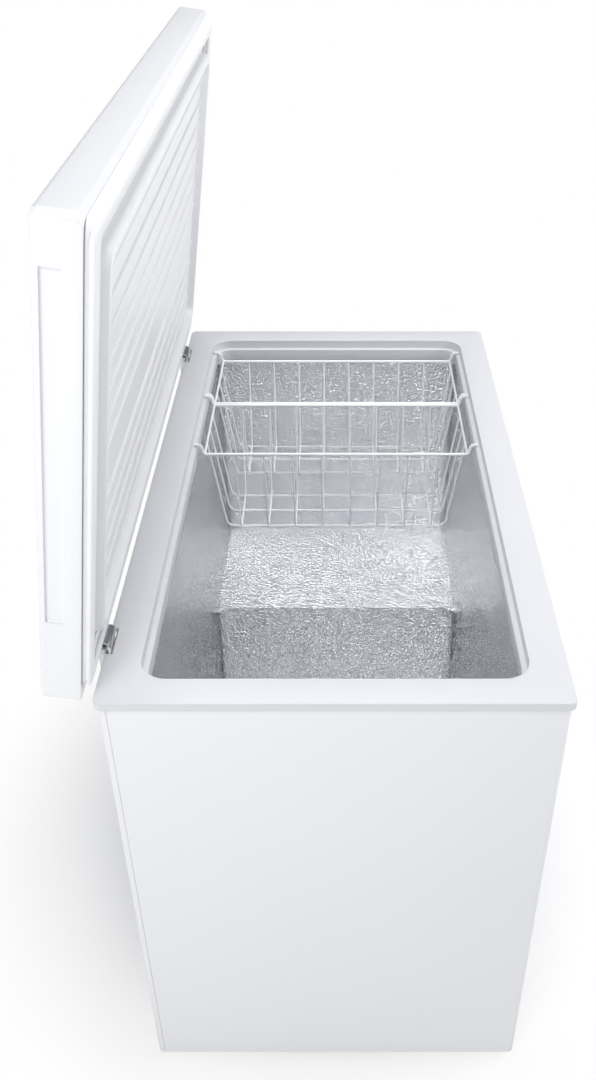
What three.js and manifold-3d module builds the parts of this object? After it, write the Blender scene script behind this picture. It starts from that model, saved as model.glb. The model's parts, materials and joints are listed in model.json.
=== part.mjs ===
// A chest freezer with its lid standing open: a foam-filled steel cabinet with an embossed aluminium
// liner, a plastic top collar, a foam-filled lid on two spring hinges, two hanging wire baskets, and
// the cooling system in the bay under the step at the right-hand end. Millimetres, +Z up, front at -Y.
import * as THREE from "three";
import { mergeVertices } from "three/addons/utils/BufferGeometryUtils.js";
import Module from "manifold-3d";

const wasm = await Module();
wasm.setup();

// ---- Driving dimensions -------------------------------------------------------------------------
const GAP = 0.3; // between pieces that touch

const FOOT_HEIGHT = 14;
const CABINET = { length: 1035, depth: 560, bottom: FOOT_HEIGHT, top: 764, corner: 8, sheet: 1 };
const COLLAR = {
  overhang: 4,
  top: 776,
  skin: 3,
  flat: 47, // outer edge to the step down, at the front and back
  step: 16, // depth of the ledge that the baskets hang on
  ledge: 7, // width of that ledge
  skirt: 38, // how far the inner face reaches below the top
  wall: 2.5,
  innerCorner: 34,
};
const THINNER_ENDS = 3.5; // the end walls are this much thinner than the front and back
const WALL = COLLAR.flat + COLLAR.ledge; // outer edge of the collar to the inside of the liner
const OUTER = { x: CABINET.length / 2 + COLLAR.overhang, y: CABINET.depth / 2 + COLLAR.overhang };

const LINER = {
  x: OUTER.x - WALL + THINNER_ENDS,
  y: OUTER.y - WALL,
  floor: 74,
  stepX: 196.5, // face of the step over the machine bay
  stepTop: 339,
  corner: 20,
  sheet: 1.2,
};
const STEP_FOAM = 48.5;
const BAY = { x0: LINER.stepX + LINER.sheet + STEP_FOAM, top: LINER.stepTop - LINER.sheet - STEP_FOAM };

const LID = {
  length: 1043,
  depth: 577,
  behind: 4, // how far it reaches behind the collar
  top: 833,
  thickness: 46.5,
  face: 41, // height of the front face above the bevel
  bevel: 5.5,
  corner: 9,
  edge: 6,
  sheet: 1.2,
};
const OPEN_ANGLE = 81.8; // degrees from closed
const PIVOT = { y: 286.7, z: 777.3 }; // hinge axis, from the cabinet's middle plane
const GASKET = { inset: 4.5, width: 28, corner: 14, clear: 13 }; // clear: further in, past the hinges
const PLUG = { inset: 54, rim: 10, depth: 15.5, recess: 12, slope: 5, corner: 30, flange: 1.5, wall: 2 };
const RIB = { first: 70, pitch: 34.5, count: 13, missing: 5, width: 7, height: 3 };
const END_RECESS = { from: 117, to: 526, top: 7.5, width: 21.5, depth: 3.5 };

const HINGE_X = 409.5;
const HINGE = { width: 37, hood: 11, hoodWall: 1.6, pin: 3, cheek: 2 };
const HINGE_POCKET = { half: 24.5, depth: 9.5, height: 14 };

const BASKET = {
  width: 172, // between the two hanger bars
  bottomWidth: 103,
  endTop: 218,
  endBottom: 192.5,
  barZ: 745,
  bottomZ: 574,
  hanger: 2.7, // wire radii
  frame: 2,
  wire: 1.6,
  pitch: 48.2,
  crossWires: 8,
  runPitch: 49,
  bend: 12,
};
const BASKET_X = { middle: 185, right: 364 }; // rest places of the two baskets

// ---- Materials ----------------------------------------------------------------------------------
const finish = (color, roughness, metalness = 0) =>
  new THREE.MeshStandardMaterial({ color, roughness, metalness });
const paintedSteel = finish(0xf4f5f8, 0.35);
const whitePlastic = finish(0xeff1f4, 0.45);
const panelPlastic = finish(0xe4e6ea, 0.4);
const gasketVinyl = finish(0xf2f3f5, 0.6);
const embossedAluminium = finish(0xb9bec6, 0.32, 0.9);
const foam = finish(0xe8dcae, 0.9);
const hingeSteel = finish(0x9a9da1, 0.25, 1);
const zincSteel = finish(0xa9adb0, 0.4, 1);
const coatedWire = finish(0xf6f7f9, 0.3);
const blackEnamel = finish(0x17181a, 0.45);
const copper = finish(0xb87345, 0.35, 1);
const blackRubber = finish(0x1c1c1e, 0.8);
const greyPlastic = finish(0xb8bbc0, 0.5);
const greenLens = finish(0x4fae62, 0.2);

// ---- Solids -------------------------------------------------------------------------------------
// Keeps positions only and merges the vertices that faces share.
function welded(geometry) {
  const bare = geometry.clone();
  bare.deleteAttribute("normal");
  bare.deleteAttribute("uv");
  return mergeVertices(bare, 1e-3);
}

function solid(geometry) {
  const { index, attributes } = welded(geometry);
  return new wasm.Manifold(
    new wasm.Mesh({
      numProp: 3,
      vertProperties: new Float32Array(attributes.position.array),
      triVerts: new Uint32Array(index.array),
    }),
  );
}

function geometryOf(manifold) {
  const mesh = manifold.getMesh();
  return new THREE.BufferGeometry()
    .setAttribute("position", new THREE.BufferAttribute(mesh.vertProperties, 3))
    .setIndex(new THREE.BufferAttribute(mesh.triVerts, 1));
}

const join = (solids) => solids.reduce((all, one) => all.add(one));
const cut = (from, tools) => tools.reduce((left, tool) => left.subtract(tool), from);

// A box given by its lowest and highest corners.
function box([x0, y0, z0], [x1, y1, z1]) {
  return new THREE.BoxGeometry(x1 - x0, y1 - y0, z1 - z0).translate((x0 + x1) / 2, (y0 + y1) / 2, (z0 + z1) / 2);
}

// A cylinder between two heights, standing on +Z, or lying along X or Y.
function rod(radius, from, to, [a, b] = [0, 0], axis = "z", sides = 20) {
  const shape = new THREE.CylinderGeometry(radius, radius, to - from, sides);
  if (axis === "y") return shape.translate(a, (from + to) / 2, b);
  if (axis === "z") return shape.rotateX(Math.PI / 2).translate(a, b, (from + to) / 2);
  return shape.rotateZ(Math.PI / 2).translate((from + to) / 2, a, b);
}

// One level of a rounded rectangle, counter-clockwise from above.
function level({ x, y, z, r, x0 = -x, y0 = -y }) {
  const steps = 4;
  const loop = [];
  const corners = [
    [x - r, y - r, 0],
    [x0 + r, y - r, 1],
    [x0 + r, y0 + r, 2],
    [x - r, y0 + r, 3],
  ];
  for (const [cx, cy, quarter] of corners)
    for (let i = 0; i <= steps; i++) {
      const a = (quarter + i / steps) * (Math.PI / 2);
      loop.push(new THREE.Vector3(cx + r * Math.cos(a), cy + r * Math.sin(a), z));
    }
  return loop;
}

// Skin through a stack of equal-length loops: capped at both ends, or closed on itself as a ring.
function skin(loops, ring = false) {
  const n = loops[0].length;
  const positions = loops.flat().flatMap((p) => [p.x, p.y, p.z]);
  const index = [];
  const last = ring ? loops.length : loops.length - 1;
  for (let k = 0; k < last; k++) {
    const a = k * n;
    const b = ((k + 1) % loops.length) * n;
    for (let i = 0; i < n; i++) {
      const j = (i + 1) % n;
      index.push(a + i, a + j, b + j, a + i, b + j, b + i);
    }
  }
  if (!ring)
    for (let i = 1; i < n - 1; i++) {
      const top = (loops.length - 1) * n;
      index.push(0, i + 1, i, top, top + i, top + i + 1);
    }
  return new THREE.BufferGeometry()
    .setAttribute("position", new THREE.Float32BufferAttribute(positions, 3))
    .setIndex(index);
}

// A block with rounded upright corners.
const block = (outline, z0, z1) => skin([level({ ...outline, z: z0 }), level({ ...outline, z: z1 })]);

// A path of straight runs whose corners are rounded to radius r.
function rounded(points, r, steps = 2) {
  const out = [points[0]];
  for (let i = 1; i < points.length - 1; i++) {
    const p = points[i];
    const to = points[i - 1].clone().sub(p);
    const from = points[i + 1].clone().sub(p);
    const reach = Math.min(r, to.length() / 2, from.length() / 2);
    const a = p.clone().addScaledVector(to.normalize(), reach);
    const b = p.clone().addScaledVector(from.normalize(), reach);
    const bend = new THREE.QuadraticBezierCurve3(a, p, b);
    out.push(...bend.getPoints(steps));
  }
  out.push(points[points.length - 1]);
  return out;
}

// A curve through points, with one section at each point and square to the bend there.
class Run extends THREE.Curve {
  constructor(points) {
    super();
    this.points = points;
  }
  getUtoTmapping(u) {
    return u;
  }
  getPoint(t) {
    const at = t * (this.points.length - 1);
    const i = Math.min(Math.floor(at), this.points.length - 2);
    return this.points[i].clone().lerp(this.points[i + 1], at - i);
  }
  getTangent(t) {
    const i = Math.round(t * (this.points.length - 1));
    const way = new THREE.Vector3();
    if (i > 0) way.add(this.points[i].clone().sub(this.points[i - 1]).normalize());
    if (i < this.points.length - 1) way.add(this.points[i + 1].clone().sub(this.points[i]).normalize());
    return way.normalize();
  }
}

// Round wire or tube along a list of points.
function wire(points, radius, sides = 6) {
  const section = new THREE.Shape();
  for (let i = 0; i < sides; i++) {
    const a = ((i + 0.5) / sides) * 2 * Math.PI;
    const at = [radius * Math.cos(a), radius * Math.sin(a)];
    if (i) section.lineTo(...at);
    else section.moveTo(...at);
  }
  return new THREE.ExtrudeGeometry(section, {
    steps: points.length - 1,
    extrudePath: new Run(points),
    bevelEnabled: false,
  });
}

const vec = (x, y, z) => new THREE.Vector3(x, y, z);
const radians = THREE.MathUtils.degToRad;

// ---- Assembly -----------------------------------------------------------------------------------
const freezer = new THREE.Group();
const lid = new THREE.Group();
lid.position.set(0, PIVOT.y, PIVOT.z);
lid.rotation.x = -radians(OPEN_ANGLE);
freezer.add(lid);

function place(name, shape, material, group = freezer) {
  const mesh = new THREE.Mesh(shape.isBufferGeometry ? shape : geometryOf(shape), material);
  mesh.name = name;
  group.add(mesh);
  return mesh;
}

// ---- Cabinet ------------------------------------------------------------------------------------
const shellX = CABINET.length / 2;
const shellY = CABINET.depth / 2;
const GRILLE = { y0: -150, y1: 150, z0: 40, z1: 200, frame: 12 };
const CONTROL = { x: 400, z: 96, width: 150, height: 60 };
const DRAIN = { x: -400, z: 34, hole: 11 };

// Front and two ends in one folded sheet, with openings for the grille, the controls and the drain.
function cabinetWrap() {
  const outside = block({ x: shellX, y: shellY, r: CABINET.corner }, CABINET.bottom, CABINET.top);
  const inside = block(
    { x: shellX - CABINET.sheet, y: shellY - CABINET.sheet, r: CABINET.corner - CABINET.sheet },
    CABINET.bottom - 1,
    CABINET.top + 1,
  );
  const back = box([-shellX, shellY - CABINET.corner - 2, 0], [shellX, shellY + 1, CABINET.top + 1]);
  const bay = box([shellX - 5, GRILLE.y0, GRILLE.z0], [shellX + 5, GRILLE.y1, GRILLE.z1]);
  const { x, z, width, height } = CONTROL;
  const panel = box(
    [x - width / 2 + 8, -shellY - 5, z - height / 2 + 8],
    [x + width / 2 - 8, -shellY + 5, z + height / 2 - 8],
  );
  const drain = rod(DRAIN.hole, -shellY - 5, -shellY + 5, [DRAIN.x, DRAIN.z], "y");
  place("cabinet_wrap", cut(solid(outside), [inside, back, bay, panel, drain].map(solid)), paintedSteel);
}

// The back sheet turns round both rear corners and meets the wrap there.
function backPanel() {
  const outside = block({ x: shellX, y: shellY, r: CABINET.corner }, CABINET.bottom, CABINET.top);
  const inside = block(
    { x: shellX - CABINET.sheet, y: shellY - CABINET.sheet, r: CABINET.corner - CABINET.sheet },
    CABINET.bottom - 1,
    CABINET.top + 1,
  );
  const front = box(
    [-shellX - 1, -shellY - 1, 0],
    [shellX + 1, shellY - CABINET.corner - 2 + GAP, CABINET.top + 2],
  );
  const gland = rod(11, shellY - 5, shellY + 5, [430, 60], "y");
  place("back_panel", cut(solid(outside), [inside, front, gland].map(solid)), paintedSteel);
}

// The pan under the foam stops at the machine bay, where the compressor's plate takes over.
function basePan() {
  const edge = CABINET.sheet + GAP;
  const pan = box(
    [-shellX + edge + 6, -shellY + edge + 6, CABINET.bottom],
    [BAY.x0 - GAP, shellY - edge - 6, CABINET.bottom + 1.2],
  );
  const well = rod(9, CABINET.bottom - 5, CABINET.bottom + 5, [DRAIN.x, -120]);
  place("base_pan", cut(solid(pan), [solid(well)]), zincSteel);
}

// Half sizes of an outline inset from the collar's, allowing for the thinner ends.
function within(inset) {
  const thinner = inset > COLLAR.flat / 2 ? THINNER_ENDS : 0;
  return { x: OUTER.x - inset + thinner, y: OUTER.y - inset };
}

function collarLevels() {
  const at = (inset, drop, r) => level({ ...within(inset), z: COLLAR.top - drop, r });
  const { flat, step, skirt, skin: plate, wall, innerCorner } = COLLAR;
  const inner = innerCorner;
  return [
    at(0, 12, 9),
    at(0, 2, 9),
    at(0.6, 0.6, 9),
    at(2, 0, 9),
    at(flat - 2, 0, inner + 2),
    at(flat - 0.6, 0.6, inner + 1),
    at(flat, 2, inner),
    at(flat, step, inner),
    at(WALL - 1, step, inner - 6),
    at(WALL, step + 1, inner - 6),
    at(WALL, skirt, inner - 6),
    at(WALL - wall, skirt, inner - 5),
    at(WALL - wall, step + plate, inner - 5),
    at(flat - wall, step + plate, inner),
    at(flat - wall, plate, inner),
    at(plate, plate, 6.5),
    at(plate, 12, 6.5),
  ];
}

// Room at the collar's rear edge for a hinge, grown by g.
function hingePocket(x, g) {
  const { half, depth, height } = HINGE_POCKET;
  return solid(
    box([x - half - g, OUTER.y - depth - g, COLLAR.top - height - g], [x + half + g, OUTER.y + 1, COLLAR.top + 1]),
  );
}

// Plastic ring that finishes the top of the walls, with a pocket at each hinge.
function topCollar() {
  const pockets = [-HINGE_X, HINGE_X].map((x) => hingePocket(x, 0));
  place("top_collar", cut(solid(skin(collarLevels(), true)), pockets), whitePlastic);
}

// The liner's cavity grown by g: the deep part, and the part over the step.
function cavity(g, top, drop = 0) {
  const r = LINER.corner + g;
  const x = LINER.x + g;
  const y = LINER.y + g;
  const deep = block({ x: LINER.stepX + g, x0: -x, y, r }, LINER.floor - g - drop, top);
  const shallow = block({ x, y, r }, LINER.stepTop - g - drop, top);
  return solid(deep).add(solid(shallow));
}

const LINER_TOP = COLLAR.top - COLLAR.skirt - GAP;

function innerLiner() {
  const drain = solid(rod(9, LINER.floor - 5, LINER.floor + 5, [DRAIN.x, -120]));
  place("inner_liner", cut(cavity(LINER.sheet, LINER_TOP), [cavity(0, LINER_TOP + 5), drain]), embossedAluminium);
}

// A tube wound round an upright rounded rectangle, dropping evenly on its left-hand side.
function winding({ x, y, x1 = x, top, pitch, turns, r }) {
  const points = [];
  for (let i = 0; i < turns; i++) {
    const z = top - i * pitch;
    points.push(vec(-x, y, z), vec(x1, y, z), vec(x1, -y, z), vec(-x, -y, z), vec(-x, 0, z));
    points.push(vec(-x, 0, z), vec(-x, 0.6 * y, z - pitch));
  }
  const kept = points.filter((p, i) => !i || p.distanceTo(points[i - 1]) > 1);
  kept.pop();
  return rounded(kept, r, 2);
}

const EVAPORATOR = winding({
  x: LINER.x + LINER.sheet + 4.7,
  y: LINER.y + LINER.sheet + 4.7,
  top: 660,
  pitch: 120,
  turns: 3,
  r: 22,
});
const CONDENSER = winding({
  x: shellX - CABINET.sheet - 3.8,
  y: shellY - CABINET.sheet - 3.8,
  top: 700,
  pitch: 150,
  turns: 3,
  r: 22,
});

function insulation() {
  const edge = CABINET.sheet + GAP;
  const outline = { x: shellX - edge, y: shellY - edge, r: CABINET.corner - CABINET.sheet };
  const body = solid(block(outline, CABINET.bottom + 1.2 + GAP, COLLAR.top - COLLAR.skin - GAP));
  const under = COLLAR.top - COLLAR.step - COLLAR.skin - GAP;
  const ledge = (inset, r) => ({ ...within(inset), r });
  const tools = [
    cavity(LINER.sheet + GAP, COLLAR.top + 5),
    solid(block(ledge(COLLAR.flat - COLLAR.wall - GAP, COLLAR.innerCorner), under, COLLAR.top + 5)),
    solid(block(ledge(WALL - COLLAR.wall - GAP, COLLAR.innerCorner - 4), LINER_TOP, COLLAR.top + 5)),
    solid(box([BAY.x0, -shellY, 0], [shellX + 5, shellY, BAY.top])),
    solid(rod(9, 0, LINER.floor, [DRAIN.x, -120])),
    solid(box([DRAIN.x - 16, -shellY - 1, 0], [DRAIN.x + 16, -110, DRAIN.z + 20])),
    solid(wire(EVAPORATOR, 7.2, 4)),
    solid(wire(CONDENSER, 6, 4)),
    ...[-HINGE_X, HINGE_X].map((x) => hingePocket(x, 1)),
  ];
  place("cabinet_foam", cut(body, tools), foam);
  place("evaporator_tube", wire(EVAPORATOR, 4), copper);
  place("condenser_tube", wire(CONDENSER, 2.5), copper);
}

function foot(name, x, y) {
  const pad = rod(17, 0, 8, [x, y]);
  const stem = rod(5, 7, CABINET.bottom - GAP, [x, y], "z", 12);
  place(name, solid(pad).add(solid(stem)), blackRubber);
}

// ---- Cooling system in the bay ------------------------------------------------------------------
const MACHINE = { x: 405, y: 70, z: 34, radius: 68, height: 158 };

function compressorPlate() {
  const z = CABINET.bottom;
  const plate = box([BAY.x0 + GAP, -shellY + 8, z], [shellX - 8, shellY - 8, z + 2]);
  const studs = mountCorners().map(([x, y]) => solid(rod(4, z + 1, z + 26, [x, y], "z", 12)));
  place("compressor_plate", join([solid(plate), ...studs]), zincSteel);
}

function mountCorners() {
  const reach = 62;
  return [
    [MACHINE.x - reach, MACHINE.y - reach],
    [MACHINE.x + reach, MACHINE.y - reach],
    [MACHINE.x - reach, MACHINE.y + reach],
    [MACHINE.x + reach, MACHINE.y + reach],
  ];
}

function compressor() {
  const { radius, height, z } = MACHINE;
  const profile = [
    [0, 0],
    [radius - 26, 0],
    [radius - 6, 14],
    [radius, 34],
    [radius, height - 66],
    [radius + 3, height - 64],
    [radius + 3, height - 58],
    [radius, height - 56],
    [radius - 6, height - 26],
    [radius - 30, height - 4],
    [0, height],
  ].map(([r, h]) => new THREE.Vector2(r, h));
  const pot = new THREE.LatheGeometry(profile, 24).rotateX(Math.PI / 2).translate(MACHINE.x, MACHINE.y, z);
  const reach = 76;
  const plate = block(
    { x: MACHINE.x + reach, x0: MACHINE.x - reach, y: MACHINE.y + reach, y0: MACHINE.y - reach, r: 14 },
    z + 3,
    z + 6,
  );
  const bores = mountCorners().map(([x, y]) => solid(rod(7.3, z, z + 9, [x, y], "z", 16)));
  place("compressor", cut(solid(pot).add(solid(plate)), bores), blackEnamel);
}

// Rubber bush between the compressor's foot and its stud, waisted where the foot sits.
function grommet(name, [x, y]) {
  const z0 = CABINET.bottom + 2 + GAP;
  const foot0 = MACHINE.z + 3;
  const profile = [
    [4.3, z0],
    [11, z0],
    [11, foot0 - GAP],
    [7, foot0 - GAP],
    [7, foot0 + 3 + GAP],
    [10, foot0 + 3 + GAP],
    [10, foot0 + 7],
    [4.3, foot0 + 7],
    [4.3, z0],
  ].map(([r, h]) => new THREE.Vector2(r, h));
  place(name, new THREE.LatheGeometry(profile, 16).rotateX(Math.PI / 2).translate(x, y, 0), blackRubber);
}

function coolingPipes() {
  const { x, y, z, radius, height } = MACHINE;
  const cover = box([x - 24, y - radius - 34, z + 50], [x + 24, y - radius - 1, z + 88]);
  place("relay_cover", cover, blackEnamel);
  const discharge = [
    vec(x + 30, y + radius - 2, z + 60),
    vec(x + 30, y + radius + 30, z + 60),
    vec(x + 30, y + radius + 30, z + height + 20),
    vec(x + 30, 170, z + height + 20),
    vec(x + 30, 230, z + height + 20),
  ];
  const suction = [
    vec(x - 30, y + radius - 2, z + 70),
    vec(x - 30, y + radius + 46, z + 70),
    vec(x - 30, y + radius + 46, z + height + 30),
    vec(x - 60, y + radius + 46, z + height + 30),
  ];
  const pot = solid(new THREE.CylinderGeometry(radius + 0.4, radius + 0.4, 140, 24).rotateX(Math.PI / 2)
    .translate(x, y, z + 80));
  place("discharge_pipe", solid(wire(rounded(discharge, 16), 3, 8)).subtract(pot), copper);
  place("suction_pipe", solid(wire(rounded(suction, 16), 4, 8)).subtract(pot), copper);
  const drier = [
    [0, -62],
    [3, -62],
    [3, -50],
    [10, -42],
    [10, 42],
    [3, 50],
    [3, 62],
    [0, 62],
  ].map(([r, h]) => new THREE.Vector2(r, h));
  const lying = new THREE.LatheGeometry(drier, 16).rotateZ(Math.PI / 2).translate(x - 10, -140, z + 150);
  place("filter_drier", lying, copper);
  const cradle = box([x - 16, -156, z + 127], [x - 4, -124, z + 139.7]);
  const post = box([x - 16, -156, CABINET.bottom + 2 + GAP], [x - 4, -152, z + 139.7]);
  place("drier_bracket", solid(cradle).add(solid(post)), zincSteel);
}

// Louvred cover over the bay's opening in the right-hand end.
function sideGrille() {
  const { y0, y1, z0, z1, frame } = GRILLE;
  const x0 = shellX + GAP;
  const plate = solid(box([x0, y0 - frame, z0 - frame], [x0 + 2.7, y1 + frame, z1 + frame]));
  const slots = [];
  const slats = [];
  const pitch = 16;
  for (let z = z0 + 8; z < z1 - 8; z += pitch) {
    for (const side of [-1, 1]) {
      const a = side < 0 ? y0 + 6 : 5;
      const b = side < 0 ? -5 : y1 - 6;
      slots.push(solid(box([x0 - 1, a, z - 3.5], [x0 + 5, b, z + 3.5])));
      const slat = new THREE.BoxGeometry(1.4, b - a + 2, 7).rotateY(radians(35));
      slats.push(solid(slat.translate(x0 + 0.6, (a + b) / 2, z)));
    }
  }
  const keep = solid(box([x0, y0 - frame, z0 - frame], [x0 + 3, y1 + frame, z1 + frame]));
  place("side_grille", cut(plate, slots).add(join(slats).intersect(keep)), greyPlastic);
}

// ---- Controls and drain -------------------------------------------------------------------------
function controls() {
  const { x, z, width, height } = CONTROL;
  const face = -shellY - GAP;
  const bezel = box([x - width / 2, face - 2.4, z - height / 2], [x + width / 2, face, z + height / 2]);
  const spindle = rod(5, face - 5, face + 5, [x + 32, z], "y", 16);
  const lamp = rod(4.3, face - 5, face + 5, [x - 44, z], "y", 16);
  place("control_panel", cut(solid(bezel), [solid(spindle), solid(lamp)]), greyPlastic);

  const knob = rod(18, face - 9.5, face - 2.4 - GAP, [x + 32, z], "y", 28);
  const grip = box([x + 32 - 3.4, face - 12, z - 17], [x + 32 + 3.4, face - 9, z + 17]);
  const stem = rod(3, face - 4, face + 8, [x + 32, z], "y", 12);
  place("thermostat_knob", join([knob, grip, stem].map(solid)), whitePlastic);

  const can = box([x + 32 - 20, face + 3, z - 16], [x + 32 + 20, face + 34, z + 16]);
  const bore = rod(3.4, face, face + 12, [x + 32, z], "y", 16);
  place("thermostat", cut(solid(can), [solid(bore)]), zincSteel);

  const dome = rod(3.9, face - 3.6, face + 10, [x - 44, z], "y", 16);
  place("indicator_lens", dome, greenLens);
}

function drain() {
  const { x, z } = DRAIN;
  const face = -shellY;
  const elbow = rounded([vec(x, face + 4, z), vec(x, -120, z), vec(x, -120, LINER.floor - 6)], 16);
  const tube = cut(solid(wire(elbow, 7, 12)), [solid(wire([...elbow], 5, 12))]);
  const ends = [
    solid(rod(5, face - 2, face + 6, [x, z], "y", 12)),
    solid(rod(5, LINER.floor - 14, LINER.floor, [x, -120], "z", 12)),
  ];
  place("drain_tube", cut(tube, ends), whitePlastic);

  const flange = rod(17, face - 3, face - GAP, [x, z], "y", 24);
  const spigot = rod(10.6, face - 1, face + 3.5, [x, z], "y", 24);
  const bore = rod(7.6, face - 4, face + 5, [x, z], "y", 24);
  place("drain_socket", cut(solid(flange).add(solid(spigot)), [solid(bore)]), whitePlastic);

  const cap = rod(15, face - 9, face - 3 - GAP, [x, z], "y", 24);
  const plugEnd = rod(7.2, face - 5, face + 3, [x, z], "y", 24);
  place("drain_cap", solid(cap).add(solid(plugEnd)), whitePlastic);

  const stopper = rod(8.6, LINER.floor - 3, LINER.floor + 1, [x, -120], "z", 20);
  const brim = rod(14, LINER.floor + GAP, LINER.floor + 4, [x, -120], "z", 20);
  const tab = box([x - 1.5, -126, LINER.floor + 3], [x + 1.5, -114, LINER.floor + 14]);
  place("drain_plug", join([stopper, brim, tab].map(solid)), greyPlastic);
}

function cordGland() {
  const disc = rod(14, shellY + GAP, shellY + 5, [430, 60], "y", 20);
  const neck = rod(10.6, shellY - 6, shellY + 1, [430, 60], "y", 20);
  const bore = rod(4, shellY - 8, shellY + 8, [430, 60], "y", 16);
  place("cord_gland", cut(solid(disc).add(solid(neck)), [solid(bore)]), blackRubber);
}

// ---- Lid, drawn closed about its hinge axis -----------------------------------------------------
const LID_X = LID.length / 2;
const LID_BACK = OUTER.y + LID.behind - PIVOT.y; // rear edge, from the axis
const LID_FRONT = LID_BACK - LID.depth;
const LID_TOP = LID.top - PIVOT.z;
const LID_UNDER = LID_TOP - LID.thickness;
const LID_BEND = LID_TOP - LID.face;

// A level of the lid, inset from its outline and further at the front and rear edges.
const lidLevel = (inset, z, r, front = 0, rear = 0) =>
  level({ x: LID_X - inset, y: LID_BACK - inset - rear, y0: LID_FRONT + inset + front, z, r });

// Room in the lid's underside for the hinge's hood, grown by g.
const hoodPocket = (x, g) =>
  solid(box([x - 20 - g, -16 - g, LID_UNDER - 1], [x + 20 + g, 5, LID_UNDER + 5 + g]));

function lidShell() {
  const { corner, edge, sheet, bevel } = LID;
  const bend = [0, 1, 2, 3].map((i) => {
    const a = (i / 3) * (Math.PI / 2);
    return lidLevel(edge * (1 - Math.cos(a)), LID_TOP - edge * (1 - Math.sin(a)), corner);
  });
  const pan = skin([
    lidLevel(sheet, LID_TOP - sheet, corner - sheet),
    lidLevel(sheet, LID_BEND, corner - sheet),
    lidLevel(sheet, LID_UNDER + 1.5, corner - sheet, bevel - 1.5),
    lidLevel(12, LID_UNDER + 1.5, corner),
    lidLevel(12, LID_UNDER, corner),
    lidLevel(0.8, LID_UNDER, corner, bevel - 0.8),
    lidLevel(0, LID_UNDER + 0.8, corner, bevel - 0.8),
    lidLevel(0, LID_BEND, corner),
    ...bend,
  ]);
  const recesses = [-1, 1].map((side) => endRecess(side, 0));
  const bosses = [-1, 1].map((side) => endRecess(side, sheet));
  const pockets = [-HINGE_X, HINGE_X].map((x) => hoodPocket(x, 0));
  const holes = screwPlaces().map(([x, z]) => solid(rod(1.9, -8, LID_BACK + 1, [x, z], "y", 10)));
  const shell = cut(solid(pan).add(join(bosses)), [...recesses, ...pockets, ...holes]);
  place("lid_shell", shell, paintedSteel, lid);
}

// The long shallow recess pressed into each end of the lid, grown by g for the metal round it.
function endRecess(side, g) {
  const { from, to, top, width, depth } = END_RECESS;
  const outer = side * (LID_X + (g ? 0 : 1));
  const inner = side * (LID_X - depth - g);
  return solid(
    box(
      [Math.min(outer, inner), LID_BACK - to - g, LID_TOP - top - width - g],
      [Math.max(outer, inner), LID_BACK - from + g, LID_TOP - top + g],
    ),
  );
}

function lidFoam() {
  const edge = LID.sheet + GAP;
  const { inset, rim, depth, recess, slope, corner, flange, wall } = PLUG;
  const floor = LID_UNDER - depth + wall + GAP;
  const body = solid(
    skin([
      lidLevel(inset + rim + slope - wall - 4 * GAP, floor + recess, corner - 12),
      lidLevel(inset + rim - wall - 4 * GAP, floor, corner - 8),
      lidLevel(inset + wall + GAP, floor, corner - 2),
      lidLevel(inset - 2 + GAP, LID_UNDER + flange + GAP, corner),
      lidLevel(edge, LID_UNDER + flange + GAP, LID.corner - edge, LID.bevel),
      lidLevel(edge, LID_BEND, LID.corner - edge),
      lidLevel(edge, LID_TOP - edge, LID.corner - edge),
    ]),
  );
  const recesses = [-1, 1].map((side) => endRecess(side, edge));
  const pockets = [-HINGE_X, HINGE_X].map((x) => hoodPocket(x, 1.5));
  const holes = screwPlaces().map(([x, z]) => solid(rod(2.2, -18, LID_BACK + 1, [x, z], "y", 10)));
  place("lid_foam", cut(body, [...recesses, ...pockets, ...holes]), foam, lid);
}

// Inner panel: a flange under the gasket, a shallow plug, and a recessed centre with long ribs.
function lidLiner() {
  const { inset, rim, depth, recess, slope, corner, flange, wall } = PLUG;
  const bottom = LID_UNDER - depth;
  const panel = skin([
    lidLevel(inset + rim + slope, bottom + recess, corner - 12),
    lidLevel(inset + rim, bottom, corner - 8),
    lidLevel(inset, bottom, corner - 2),
    lidLevel(inset - 4, LID_UNDER, corner),
    lidLevel(12 + GAP, LID_UNDER, 12),
    lidLevel(12 + GAP, LID_UNDER + flange, 12),
    lidLevel(inset - 2, LID_UNDER + flange, corner),
    lidLevel(inset + wall, bottom + wall, corner - 2),
    lidLevel(inset + rim - wall, bottom + wall, corner - 8),
    lidLevel(inset + rim + slope - wall, bottom + recess + wall, corner - 12),
  ]);
  const half = LID_X - inset - rim - slope - 8;
  const ceiling = bottom + recess;
  const ribs = ribPlaces().map((y) => {
    const bead = new THREE.CylinderGeometry(RIB.width / 2, RIB.width / 2, 2 * half, 12)
      .rotateZ(Math.PI / 2)
      .scale(1, 1, (2 * RIB.height) / RIB.width)
      .translate(0, y, ceiling + 0.2);
    return solid(bead);
  });
  const above = solid(box([-LID_X, LID_FRONT, ceiling + 0.5], [LID_X, LID_BACK, ceiling + 20]));
  place("lid_liner", solid(panel).add(cut(join(ribs), [above])), panelPlastic, lid);
}

// Distances of the ribs from the hinge axis; one place in the row is left plain.
function ribPlaces() {
  const places = [];
  for (let i = 0; i < RIB.count; i++)
    if (i !== RIB.missing) places.push(LID_BACK - RIB.first - i * RIB.pitch);
  return places;
}

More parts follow.
